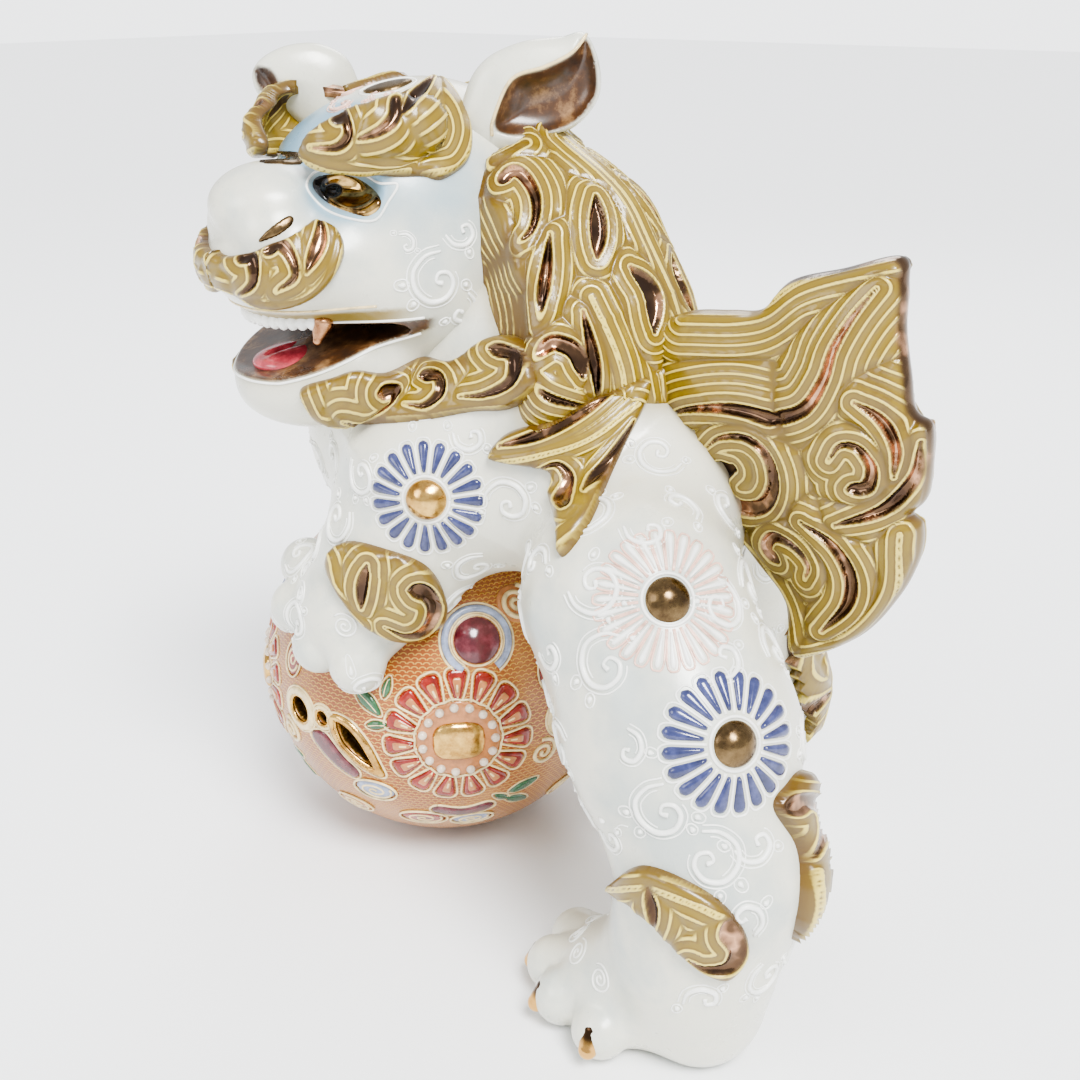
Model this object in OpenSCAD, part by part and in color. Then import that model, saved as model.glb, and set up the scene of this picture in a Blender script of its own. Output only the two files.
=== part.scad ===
// Seated guardian lion with its ball, a hollow glazed porcelain figure.
// The lion faces -Y, its left is +X, and +Z is up. The head looks over its left shoulder.
// Every cast piece is a shell, open where it is luted to the next one.

/* [Ball] */
// Diameter of the pierced ball
ball_d = 132; // [128:1:136]
// Diameter of the flat spot that the ball stands on
ball_flat_d = 22; // [18:1:26]
// Diameter of the round piercing in each openwork cluster
pierce_d = 10; // [7:0.5:11]
// Radius of the flower medallion on the ball
medallion_r = 25; // [23:0.5:26]
// Number of petals in the medallion
medallion_petals = 14; // [12:1:16]

/* [Shells] */
// Wall thickness of the cast pieces
wall = 5; // [4:0.5:6]
// Diameter of the slip drain hole under the belly
drain_d = 10; // [8:1:14]

/* [Head] */
// Angle that the head turns from straight ahead to its own left
head_turn = 75; // [70:1:80]
// Height of the head's centre
head_z = 225; // [222:1:228]
// Gap between the lips at the front of the mouth
mouth_gap = 15; // [12:1:17]

/* [Flowers] */
// Radius of the shoulder flowers, over the petals
shoulder_flower_r = 18; // [16:0.5:19]
// Radius of the hip flowers, over the petals
hip_flower_r = 18; // [16:0.5:19]
// Radius of the knee flowers, over the petals
knee_flower_r = 20; // [18:0.5:21]
// How far the petals stand proud of the glaze
petal_h = 1.2; // [0.8:0.1:1.6]

/* [Hidden] */

// Facets of the rounded lumps, and of the hollows inside them
lump_fn = 20;
hollow_fn = 14;
round_fn = 48;
inner_fn = 24;
// Facets of the ball's surface where other pieces sit on it
seat_fn = 40;

// Moves the model so that the origin is under the middle of its box
centre = [0.4, 12.2, 0];

ball_r = ball_d / 2;
ball_flat_r = ball_flat_d / 2;
ball_c = [0, -72, sqrt(ball_r * ball_r - ball_flat_r * ball_flat_r)];

// Lumps are [x, y, z, radius]
chest = [4, -68, 164, 43];
back = [2, -16, 166, 44];
rump = [4, 20, 150, 36];
neck = [4, -44, 205, 28];
nape = [8, -56, 222, 24];
tail_root = [2, 38, 160, 18];
left_flank = [30, 32, 138, 30];
right_flank = [-26, 4, 138, 32];
left_breast = [28, -48, 152, 32];
right_breast = [-22, -54, 150, 32];

left_front = [[38, -44, 148, 32], [47, -54, 124, 22], [54, -66, 108, 19], [55, -78, 98, 20]];
right_front = [[-32, -56, 146, 32], [-40, -70, 124, 22], [-44, -84, 108, 19], [-42, -96, 99, 19]];
left_hind = [[42, 42, 132, 35], [53, 66, 98, 31], [57, 81, 62, 25], [61, 80, 22, 24], [65, 66, 16, 20]];
right_hind = [[-36, 4, 132, 36], [-46, 18, 98, 30], [-54, 26, 62, 24], [-58, 22, 21, 23], [-60, 8, 16, 20]];

// Where the ankles are, and the heading of each hind foot from straight ahead
left_foot = [60, 52, 0];
right_foot = [-62, -2, 0];
left_foot_turn = 50;
right_foot_turn = -20;

mane_lumps = [[6, -46, 240, 30], [3, -20, 216, 31], [3, -6, 196, 31], [3, 4, 182, 27]];
mane_side_lumps = [[30, -34, 222, 20], [30, -26, 206, 20], [28, -8, 190, 19]];
far_mane_lumps = [[-18, -56, 226, 20], [-24, -34, 206, 20], [-22, -10, 190, 19]];
left_lock_lumps = [[34, 10, 190, 14], [40, 20, 176, 13], [50, 28, 164, 9], [58, 34, 158, 3]];
right_lock_lumps = [[-26, 2, 190, 14], [-32, 8, 176, 13], [-44, 10, 166, 9], [-54, 10, 160, 3]];

head_c = [12, -66, head_z];

// The tail is a flat fan in the middle plane, with flame points: lumps are [y, z, radius]
tail_flatness = 0.6;
tail_fan = [
    [34, 202, 10], [34, 166, 12], [62, 142, 11], [78, 118, 8], [95, 132, 9],
    [101, 161, 9], [103, 187, 8], [82, 214, 11], [50, 203, 11], [64, 172, 26]
];
tail_points = [
    [[80, 206, 16], [97, 234, 2]],
    [[96, 184, 12], [110, 191, 2.5]],
    [[96, 156, 12], [109, 160, 2.5]],
    [[74, 122, 8], [76, 112, 4]]
];

white_glaze = [0.90, 0.90, 0.86];
khaki_gold = [0.78, 0.68, 0.40];
bronze = [0.36, 0.25, 0.16];
bright_gold = [0.85, 0.65, 0.25];
blue_enamel = [0.30, 0.36, 0.62];
pale_pink = [0.93, 0.83, 0.78];
red_enamel = [0.74, 0.28, 0.16];
ball_ground = [0.80, 0.55, 0.32];
maroon = [0.42, 0.16, 0.20];

// Direction from the ball's centre at an angle around from straight ahead towards +X, and a height
function heading(around, up) = [sin(around) * cos(up), -cos(around) * cos(up), sin(up)];

function place(m) = [m[0], m[1], m[2]];

// Turns a child to face out of a lump, at an angle around it and a height
module on_lump(m, around, up) {
    translate(place(m))
        rotate([0, 0, around])
            rotate([90 - up, 0, 0])
                children();
}

module lump(m, grow = 0) {
    translate(place(m)) sphere(r = m[3] + grow);
}

// Consecutive lumps joined into one rounded limb
module limb(lumps, grow = 0) {
    for (i = [0 : len(lumps) - 2])
        hull() {
            lump(lumps[i], grow);
            lump(lumps[i + 1], grow);
        }
}

module in_head() {
    translate(head_c) rotate([0, 0, head_turn - 90]) children();
}

module egg(at, size) {
    translate(at) scale(size) sphere(r = 1);
}

// ---- solid forms that the pieces are cut from ----

module ball_form() {
    translate(ball_c) sphere(r = ball_r);
}

module body_form(grow = 0) {
    limb([chest, back, rump, tail_root], grow);
    limb([back, neck, nape], grow);
    limb([chest, neck], grow);
    limb([rump, left_flank], grow);
    limb([back, right_flank], grow);
    limb([chest, left_breast], grow);
    limb([chest, right_breast], grow);
}

// Block that stands on the ground around a foot, wide enough for all of it
module above_ground(at) {
    reach = 60;
    translate([at.x - reach, at.y - reach, 0]) cube([2 * reach, 2 * reach, reach]);
}

// The same block, below the ground
module below_ground(at) {
    mirror([0, 0, 1]) above_ground(at);
}

// The four toes and the pad of a hind foot, with a flat sole
module foot_form(at, turn) {
    intersection() {
        translate(at) rotate([0, 0, turn]) {
            for (i = [-1.5 : 1 : 1.5])
                hull() {
                    translate([i * 12, 8, 12]) sphere(r = 14);
                    translate([i * 13, -20 + abs(i) * 5, 8]) sphere(r = 9.5);
                }
        }
        above_ground(at);
    }
}

module hind_leg_form(lumps, at, turn) {
    limb(lumps);
    foot_form(at, turn);
}

// The paw lies over the ball with its toes spread downwards
module paw_form(lumps, around) {
    wrist = lumps[3];
    for (i = [-1.5 : 1 : 1.5])
        hull() {
            lump(wrist, -4);
            translate(ball_c + (ball_r + 4) * heading(around + 11 * i, 26 + 4 * abs(i)))
                sphere(r = 9);
        }
}

module front_leg_form(lumps, around) {
    limb(lumps);
    paw_form(lumps, around);
}

module head_form(grow = 0) {
    g = grow;
    hull() {
        egg([0, 0, 8], [46 + g, 44 + g, 42 + g]);
        egg([18, 0, 16], [34 + g, 34 + g, 30 + g]);
    }
    for (side = [-1, 1])
        hull() {
            egg([4, side * 20, -12], [28 + g, 24 + g, 24 + g]);
            egg([18, side * 22, -4], [26 + g, 22 + g, 22 + g]);
        }
    hull() {
        egg([26, 0, 2], [30 + g, 32 + g, 24 + g]);
        egg([46, 0, 0], [30 + g, 33 + g, 22 + g]);
    }
    hull() {
        egg([40, 0, 20], [18 + g, 16 + g, 14 + g]);
        egg([54, 0, 15], [20 + g, 19 + g, 13 + g]);
    }
}

module jaw_form(grow = 0) {
    g = grow;
    hull() {
        egg([0, 0, -26], [36 + g, 36 + g, 26 + g]);
        egg([24, 0, -34], [36 + g, 33 + g, 22 + g]);
    }
    egg([44, 0, -36], [30 + g, 29 + g, 18 + g]);
}

// The wedge between the lips, from the corner of the mouth forwards
module mouth_wedge() {
    corner = [22, -20];
    lip_x = 90;
    rotate([90, 0, 0])
        linear_extrude(100, center = true)
            polygon([corner, [lip_x, -14], [lip_x, -14 - mouth_gap * 1.6]]);
}

// Everything above or below the line of the closed mouth
module head_half(above) {
    translate([-80, -80, above ? -20 : -140]) cube([180, 160, 120]);
}

// ---- ball ----

module radial(around, up) {
    translate(ball_c) rotate([0, 0, around]) rotate([90 - up, 0, 0]) children();
}

// The piercings of one openwork cluster, as [around, up, diameter]
cluster = [[-10, -1, pierce_d], [1, 0, 5], [12, -6, 9]];

module piercings() {
    for (quarter = [0 : 90 : 270])
        for (hole = cluster)
            radial(quarter + hole[0], hole[1])
                translate([0, 0, ball_r - 3 * wall])
                    cylinder(d = hole[2], h = 6 * wall, $fn = inner_fn);
}

module ball_shell() {
    color(ball_ground)
        difference() {
            ball_form($fn = round_fn);
            translate(ball_c) sphere(r = ball_r - wall, $fn = inner_fn);
            translate([-ball_r, ball_c.y - ball_r, -ball_flat_r]) cube([ball_d, ball_d, ball_flat_r]);
            piercings();
        }
}

// Round beads that edge the piercings
module ball_piercing_rims() {
    bead_r = 1.3;
    color(bright_gold)
        for (quarter = [0 : 90 : 270])
            for (hole = cluster)
                radial(quarter + hole[0], hole[1])
                    translate([0, 0, sqrt(ball_r * ball_r - pow(hole[2] / 2 + bead_r, 2))])
                        rotate_extrude($fn = 48)
                            translate([hole[2] / 2 + bead_r, 0])
                                circle(r = bead_r, $fn = 24);
}

// One petal as a drop pointing at the flower's middle, from r1 out to r2
module petal_outline(r1, r2, w) {
    polygon([[r1, 0], [r2 - w / 2, -w / 2], [r2 - w / 2, w / 2]]);
    translate([r2 - w / 2, 0]) circle(d = w, $fn = 24);
}

// A ring of petals laid on a lump, each one tangent to it
module petal_ring(surface_r, r1, r2, count, w, h, sink = 0.8) {
    middle = (r1 + r2) / 2;
    tilt = asin(middle / surface_r);
    for (i = [0 : count - 1])
        rotate([0, 0, i * 360 / count])
            rotate([0, tilt, 0])
                translate([-middle, 0, surface_r - sink])
                    linear_extrude(h + sink)
                        petal_outline(r1, r2, w);
}

module on_quarters() {
    for (quarter = [45 : 90 : 315])
        radial(quarter, -1) children();
}

module ball_medallion_petals() {
    color(red_enamel)
        on_quarters()
            petal_ring(ball_r, 14.5, medallion_r, medallion_petals, 8, petal_h);
}

module ball_pearls() {
    pearl_ring_r = 12;
    color(pale_pink)
        on_quarters()
            for (i = [0 : 13])
                rotate([0, 0, i * 360 / 14])
                    translate([pearl_ring_r, 0, sqrt(ball_r * ball_r - pearl_ring_r * pearl_ring_r)])
                        sphere(r = 1.6, $fn = 16);
}

// A low dome, as a slice of a larger sphere
module dome(r, h) {
    big_r = (r * r + h * h) / (2 * h);
    rotate_extrude($fn = 48)
        intersection() {
            translate([0, h - big_r]) circle(r = big_r, $fn = 96);
            translate([0, -1.5]) square([r, h + 1.5]);
        }
}

module ball_medallion_bosses() {
    color(bright_gold)
        on_quarters() translate([0, 0, ball_r - 0.8]) dome(9, 3);
}

module ball_cabochons() {
    color(maroon)
        for (quarter = [52 : 90 : 322])
            radial(quarter, 28) translate([0, 0, ball_r - 0.4]) dome(8, 1.5);
}

// ---- body ----

module body_hollow() {
    limb([chest, back, rump], -wall);
    limb([back, neck, nape], -wall);
}

// The way through the neck into the hollow head
module throat() {
    throat_r = 16;
    hull() {
        translate(place(neck)) sphere(r = throat_r);
        translate(place(nape) + [6, -8, 40]) sphere(r = throat_r);
    }
}

module body_shell() {
    drain_at = [0, 6, 100];
    drain_length = 40;
    color(white_glaze)
        difference() {
            body_form($fn = lump_fn);
            body_hollow($fn = hollow_fn);
            ball_form($fn = seat_fn);
            translate(drain_at) cylinder(d = drain_d, h = drain_length, $fn = 24);
            throat($fn = hollow_fn);
        }
}

module front_leg(lumps, around) {
    color(white_glaze)
        difference() {
            front_leg_form(lumps, around, $fn = lump_fn);
            limb(lumps, -wall, $fn = hollow_fn);
            body_form($fn = lump_fn);
            ball_form($fn = seat_fn);
        }
}

module left_front_leg() {
    front_leg(left_front, 96);
}

module right_front_leg() {
    front_leg(right_front, -52);
}

module hind_leg(lumps, at, turn) {
    color(white_glaze)
        difference() {
            hind_leg_form(lumps, at, turn, $fn = lump_fn);
            limb(lumps, -wall, $fn = hollow_fn);
            body_form($fn = lump_fn);
            below_ground(at);
        }
}

module left_hind_leg() {
    hind_leg(left_hind, left_foot, left_foot_turn);
}

module right_hind_leg() {
    hind_leg(right_hind, right_foot, right_foot_turn);
}

module tail_lump(m) {
    translate([0, m[0], m[1]]) sphere(r = m[2]);
}

module tail_form() {
    scale([tail_flatness, 1, 1]) {
        hull()
            for (m = tail_fan) tail_lump(m);
        for (point = tail_points)
            hull()
                for (m = point) tail_lump(m);
    }
}

module tail() {
    color(khaki_gold)
        difference() {
            tail_form($fn = lump_fn);
            scale([tail_flatness, 1, 1])
                limb([[0, 40, 158, 12], [0, 62, 170, 15]], $fn = hollow_fn);
            body_form($fn = lump_fn);
        }
}

// ---- mane ----

module mane_form() {
    limb(mane_lumps);
    limb(mane_side_lumps);
    limb(far_mane_lumps);
}

module mane() {
    color(khaki_gold)
        difference() {
            mane_form($fn = lump_fn);
            body_form($fn = lump_fn);
            in_head() head_form($fn = lump_fn);
            in_head() jaw_form($fn = lump_fn);
        }
}

// Locks of the mane that lie on the shoulder and point at the flank
module mane_locks(lumps) {
    color(khaki_gold)
        difference() {
            limb(lumps);
            mane_form($fn = lump_fn);
            body_form($fn = lump_fn);
        }
}

module left_mane_locks() {
    mane_locks(left_lock_lumps, $fn = hollow_fn);
}

module right_mane_locks() {
    mane_locks(right_lock_lumps, $fn = hollow_fn);
}

// ---- head ----

module head_shell() {
    color(white_glaze)
        difference() {
            in_head()
                difference() {
                    intersection() {
                        head_form($fn = lump_fn);
                        head_half(true);
                    }
                    head_form(-wall, $fn = hollow_fn);
                    mouth_wedge();
                }
            body_form($fn = lump_fn);
        }
}

module lower_jaw() {
    color(white_glaze)
        difference() {
            in_head()
                difference() {
                    intersection() {
                        jaw_form($fn = lump_fn);
                        head_half(false);
                    }
                    jaw_form(-wall, $fn = hollow_fn);
                    mouth_wedge();
                }
            body_form($fn = lump_fn);
            ball_form($fn = seat_fn);
        }
}

// A cupped ear from its root to its tip, hollowed towards the front
module ear(root, tip, root_r, belly_r, scoop) {
    difference() {
        hull() {
            translate(root) sphere(r = root_r);
            translate((root + tip) / 2) sphere(r = belly_r);
            translate(tip) sphere(r = 3);
        }
        hull() {
            translate((root + tip) / 2 + scoop) sphere(r = belly_r - 2);
            translate(tip + scoop * 1.4) sphere(r = 3);
        }
        head_form();
    }
}

module left_ear() {
    color(white_glaze)
        in_head() ear([-8, 27, 41], [-24, 52, 60], 10, 14, [8, 0, -5], $fn = lump_fn);
}

module right_ear() {
    color(white_glaze)
        in_head() ear([6, -27, 42], [16, -50, 55], 9, 11, [8, 0, -4], $fn = lump_fn);
}

// Relief pieces laid on the head: a chain of lumps less the head under it
module head_relief(lumps, side) {
    color(khaki_gold)
        in_head()
            difference() {
                scale([1, side, 1]) limb(lumps);
                head_form($fn = lump_fn);
                intersection() {
                    jaw_form($fn = lump_fn);
                    head_half(false);
                }
            }
}

brow_lumps = [[47, 7, 27, 8], [41, 18, 33, 11], [34, 28, 38, 10], [24, 36, 44, 5], [16, 42, 50, 2]];
moustache_lumps = [[70, 6, -4, 8], [66, 18, -8, 9], [54, 28, -8, 8], [44, 34, -8, 4]];
beard_lumps = [[52, 24, -48, 7], [38, 32, -48, 9], [22, 36, -46, 9], [6, 38, -42, 9], [-8, 40, -36, 8]];

module left_brow() {
    head_relief(brow_lumps, 1, $fn = hollow_fn);
}

module right_brow() {
    head_relief(brow_lumps, -1, $fn = hollow_fn);
}

module left_moustache() {
    head_relief(moustache_lumps, 1, $fn = hollow_fn);
}

module right_moustache() {
    head_relief(moustache_lumps, -1, $fn = hollow_fn);
}

module left_beard() {
    head_relief(beard_lumps, 1, $fn = hollow_fn);
}

module right_beard() {
    head_relief(beard_lumps, -1, $fn = hollow_fn);
}

// Eyes are low domes set on the skull, looking forwards and outwards
module eye(side) {
    color(bright_gold)
        in_head()
            translate([44, side * 22, 20])
                rotate([0, 78, side * 40])
                    dome(8, 3.5);
}

module left_eye() {
    eye(1);
}

module right_eye() {
    eye(-1);
}

module tongue() {
    color(red_enamel)
        in_head()
            translate([54, 0, -32])
                intersection() {
                    scale([1, 1, 0.4]) sphere(r = 15, $fn = 40);
                    translate([-20, -20, -3]) cube([40, 40, 20]);
                }
}

module upper_teeth() {
    color(white_glaze)
        in_head()
            for (i = [-2 : 2])
                translate([66 - abs(i) * 3, i * 7, -24])
                    cylinder(r = 2.6, h = 8, $fn = 24);
}

module fangs() {
    color(bright_gold)
        in_head()
            for (side = [-1, 1])
                translate([56, side * 22, -28])
                    cylinder(r1 = 0.8, r2 = 3.2, h = 12, $fn = 24);
}

// ---- tufts and claws ----

module tuft(lumps) {
    color(khaki_gold)
        difference() {
            limb(lumps);
            front_leg_form(left_front, 96, $fn = lump_fn);
            front_leg_form(right_front, -52, $fn = lump_fn);
            hind_leg_form(left_hind, left_foot, left_foot_turn, $fn = lump_fn);
            hind_leg_form(right_hind, right_foot, right_foot_turn, $fn = lump_fn);
            ball_form($fn = seat_fn);
        }
}

module left_wrist_tuft() {
    tuft([[58, -48, 116, 9], [66, -58, 114, 9], [67, -70, 112, 9], [60, -80, 116, 6]], $fn = hollow_fn);
}

module right_wrist_tuft() {
    tuft([[-54, -66, 116, 9], [-60, -76, 114, 9], [-58, -88, 112, 9], [-50, -96, 116, 6]], $fn = hollow_fn);
}

module left_ankle_tuft() {
    tuft([[48, 58, 44, 6], [60, 54, 42, 8], [74, 58, 40, 9], [80, 72, 34, 8]], $fn = hollow_fn);
}

module right_ankle_tuft() {
    tuft([[-46, 4, 44, 6], [-56, -2, 42, 8], [-68, 0, 40, 9], [-76, 12, 34, 8]], $fn = hollow_fn);
}

module left_hock_tuft() {
    tuft([[58, 92, 108, 5], [55, 104, 92, 9], [55, 106, 76, 9], [58, 100, 56, 4]], $fn = hollow_fn);
}

module right_hock_tuft() {
    tuft([[-50, 38, 106, 5], [-52, 48, 90, 9], [-52, 50, 74, 9], [-54, 42, 56, 4]], $fn = hollow_fn);
}

module claws(at, turn) {
    color(bronze)
        translate(at)
            rotate([0, 0, turn])
                for (i = [-1.5 : 1 : 1.5])
                    translate([i * 13, -27 + abs(i) * 5, 9])
                        rotate([64, 0, 0])
                            cylinder(r1 = 3.6, r2 = 1.2, h = 7, $fn = 24);
}

module left_claws() {
    claws(left_foot, left_foot_turn);
}

module right_claws() {
    claws(right_foot, right_foot_turn);
}

// ---- enamel flowers: petals and the domed boss in the middle of each ----

// Where each flower sits: its lump, the way it faces around, and how far up
left_shoulder = [left_front[0], 130, 14];
left_hip = [left_hind[0], 129, 31];
left_knee = [left_hind[1], 144, 29];
right_shoulder = [right_front[0], -130, 14];
right_hip = [right_hind[0], -129, 31];
right_knee = [right_hind[1], -144, 29];

module flower_petals(seat, r, count, w, tint) {
    color(tint)
        on_lump(seat[0], seat[1], seat[2])
            petal_ring(seat[0][3], 8, r, count, w, petal_h);
}

module flower_boss(seat, tint) {
    color(tint)
        on_lump(seat[0], seat[1], seat[2])
            translate([0, 0, seat[0][3] - 0.8])
                dome(6.5, 3.6);
}

module left_shoulder_petals() {
    flower_petals(left_shoulder, shoulder_flower_r, 18, 4, blue_enamel);
}

module left_shoulder_boss() {
    flower_boss(left_shoulder, bright_gold);
}

module left_hip_petals() {
    flower_petals(left_hip, hip_flower_r, 24, 3, pale_pink);
}

module left_hip_boss() {
    flower_boss(left_hip, bronze);
}

module left_knee_petals() {
    flower_petals(left_knee, knee_flower_r, 18, 4.5, blue_enamel);
}

module left_knee_boss() {
    flower_boss(left_knee, bronze);
}

module right_shoulder_petals() {
    flower_petals(right_shoulder, shoulder_flower_r, 18, 4, blue_enamel);
}

module right_shoulder_boss() {
    flower_boss(right_shoulder, bright_gold);
}

module right_hip_petals() {
    flower_petals(right_hip, hip_flower_r, 24, 3, pale_pink);
}

module right_hip_boss() {
    flower_boss(right_hip, bronze);
}

module right_knee_petals() {
    flower_petals(right_knee, knee_flower_r, 18, 4.5, blue_enamel);
}

module right_knee_boss() {
    flower_boss(right_knee, bronze);
}

translate(centre) ball_shell();
translate(centre) ball_medallion_petals();
translate(centre) ball_medallion_bosses();
translate(centre) ball_pearls();
translate(centre) ball_piercing_rims();
translate(centre) ball_cabochons();
translate(centre) body_shell();
translate(centre) mane();
translate(centre) left_mane_locks();
translate(centre) right_mane_locks();
translate(centre) left_front_leg();
translate(centre) right_front_leg();
translate(centre) left_hind_leg();
translate(centre) right_hind_leg();
translate(centre) tail();
translate(centre) head_shell();
translate(centre) lower_jaw();
translate(centre) left_ear();
translate(centre) right_ear();
translate(centre) left_brow();
translate(centre) right_brow();
translate(centre) left_moustache();
translate(centre) right_moustache();
translate(centre) left_beard();
translate(centre) right_beard();
translate(centre) left_eye();
translate(centre) right_eye();
translate(centre) tongue();
translate(centre) upper_teeth();
translate(centre) fangs();
translate(centre) left_wrist_tuft();
translate(centre) right_wrist_tuft();
translate(centre) left_ankle_tuft();
translate(centre) right_ankle_tuft();
translate(centre) left_hock_tuft();
translate(centre) right_hock_tuft();
translate(centre) left_claws();
translate(centre) right_claws();
translate(centre) left_shoulder_petals();
translate(centre) left_shoulder_boss();
translate(centre) left_hip_petals();
translate(centre) left_hip_boss();
translate(centre) left_knee_petals();
translate(centre) left_knee_boss();
translate(centre) right_shoulder_petals();
translate(centre) right_shoulder_boss();
translate(centre) right_hip_petals();
translate(centre) right_hip_boss();
translate(centre) right_knee_petals();
translate(centre) right_knee_boss();
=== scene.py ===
"""Looks of the guardian lion on its ball: white glazed porcelain with raised slip and enamel.

Shapes are worked out in millimetres in the lion's own frame: it faces -Y, its left is +X, and the
ball's centre is at (0, -72, BALL_Z). Forms are distance fields, turned into dense meshes.
"""
import math

import bpy
import numpy as np
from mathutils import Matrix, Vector


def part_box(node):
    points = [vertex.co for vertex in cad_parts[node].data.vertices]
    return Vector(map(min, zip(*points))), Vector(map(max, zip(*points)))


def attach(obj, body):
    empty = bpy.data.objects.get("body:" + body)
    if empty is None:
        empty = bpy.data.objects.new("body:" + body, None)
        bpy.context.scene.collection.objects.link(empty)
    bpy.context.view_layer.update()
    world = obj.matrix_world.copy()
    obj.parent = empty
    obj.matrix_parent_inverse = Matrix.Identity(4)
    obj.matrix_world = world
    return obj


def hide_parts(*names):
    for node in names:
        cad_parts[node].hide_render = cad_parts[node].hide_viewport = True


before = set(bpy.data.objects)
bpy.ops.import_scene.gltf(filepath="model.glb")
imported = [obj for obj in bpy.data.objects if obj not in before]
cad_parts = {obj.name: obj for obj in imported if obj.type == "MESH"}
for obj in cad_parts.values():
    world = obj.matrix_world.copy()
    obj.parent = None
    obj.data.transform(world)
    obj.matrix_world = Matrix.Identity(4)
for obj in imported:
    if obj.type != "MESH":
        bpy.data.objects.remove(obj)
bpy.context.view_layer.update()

BODY = "root"
MM = 0.001

# ---- the lion's frame, from the CAD ball ----

ball_low, ball_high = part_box("ball_shell")
BALL_R = 66.0
BALL_Z = ball_high.z / MM - BALL_R
BALL = np.array([0.0, -72.0, BALL_Z])
SHIFT = np.array([(ball_low.x + ball_high.x) / 2, (ball_low.y + ball_high.y) / 2, 0.0]) / MM
SHIFT = SHIFT - np.array([BALL[0], BALL[1], 0.0])

HEAD_TURN = math.radians(75)
HEAD = np.array([12.0, -66.0, 225.0])
FORWARD = np.array([math.sin(HEAD_TURN), -math.cos(HEAD_TURN), 0.0])
SIDE = np.array([math.cos(HEAD_TURN), math.sin(HEAD_TURN), 0.0])
UP = np.array([0.0, 0.0, 1.0])
HEAD_AXES = np.array([FORWARD, SIDE, UP])


def vec(*numbers):
    return np.array(numbers, float)


def to_head(p):
    return (p - HEAD) @ HEAD_AXES.T


def from_head(q):
    return np.asarray(q, float) @ HEAD_AXES + HEAD


def folded(q):
    """Head points with the right side laid over the left."""
    return np.column_stack([q[:, 0], np.abs(q[:, 1]), q[:, 2]])


# ---- distance fields ----

def length(q):
    return np.sqrt(np.einsum("ij,ij->i", q, q))


def blend(a, b, k):
    """The lower of two fields, rounded over k where they meet."""
    h = np.clip(0.5 + 0.5 * (b - a) / k, 0, 1)
    return b * (1 - h) + a * h - k * h * (1 - h)


def carve(a, b, k):
    """Field a with b taken away, rounded over k."""
    return -blend(-a, b, k)


def keep(a, b, k):
    """Where both fields are inside, rounded over k."""
    return -blend(-a, -b, k)


def egg(p, centre, radii, turn=0.0):
    """An ellipsoid, turned about the upright axis by so many degrees."""
    q = p - np.asarray(centre, float)
    if turn:
        c, s = math.cos(math.radians(turn)), math.sin(math.radians(turn))
        q = np.stack([c * q[:, 0] + s * q[:, 1], -s * q[:, 0] + c * q[:, 1], q[:, 2]], 1)
    radii = np.asarray(radii, float)
    k0 = length(q / radii)
    k1 = length(q / radii ** 2)
    return k0 * (k0 - 1) / np.maximum(k1, 1e-6)


def rod(p, a, b):
    """A tapered round rod between two lumps, each (x, y, z, radius)."""
    a, b = np.asarray(a, float), np.asarray(b, float)
    ab = b[:3] - a[:3]
    t = np.clip(((p - a[:3]) @ ab) / max(ab @ ab, 1e-9), 0, 1)
    return length(p - a[:3] - t[:, None] * ab) - (a[3] + (b[3] - a[3]) * t)


def limb(p, lumps, k=6.0):
    """Rods from lump to lump, rounded over k where they meet."""
    d = rod(p, lumps[0], lumps[1])
    for a, b in zip(lumps[1:], lumps[2:]):
        d = blend(d, rod(p, a, b), k)
    return d


def gradient(field, p, h=0.35):
    """The field's slope, from four samples around each point."""
    corners = np.array([[1, -1, -1], [-1, -1, 1], [-1, 1, -1], [1, 1, 1]], float)
    g = sum(c * field(p + c * h)[:, None] for c in corners)
    return g / (4 * h)


def settle(field, p, rounds=2, most=1.5):
    """Moves points onto the field's surface, and gives them with their outward normals."""
    for _ in range(rounds):
        g = gradient(field, p)
        size2 = np.maximum((g * g).sum(1), 0.05)
        step = np.clip(field(p) / size2, -most, most)
        p = p - g * step[:, None]
    g = gradient(field, p)
    return p, g / np.maximum(length(g), 1e-6)[:, None]


def near(field, reach):
    """1 inside a field, dying away outside it."""
    return np.exp(-np.maximum(field, 0) / reach)


# ---- dense meshes from fields ----

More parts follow.
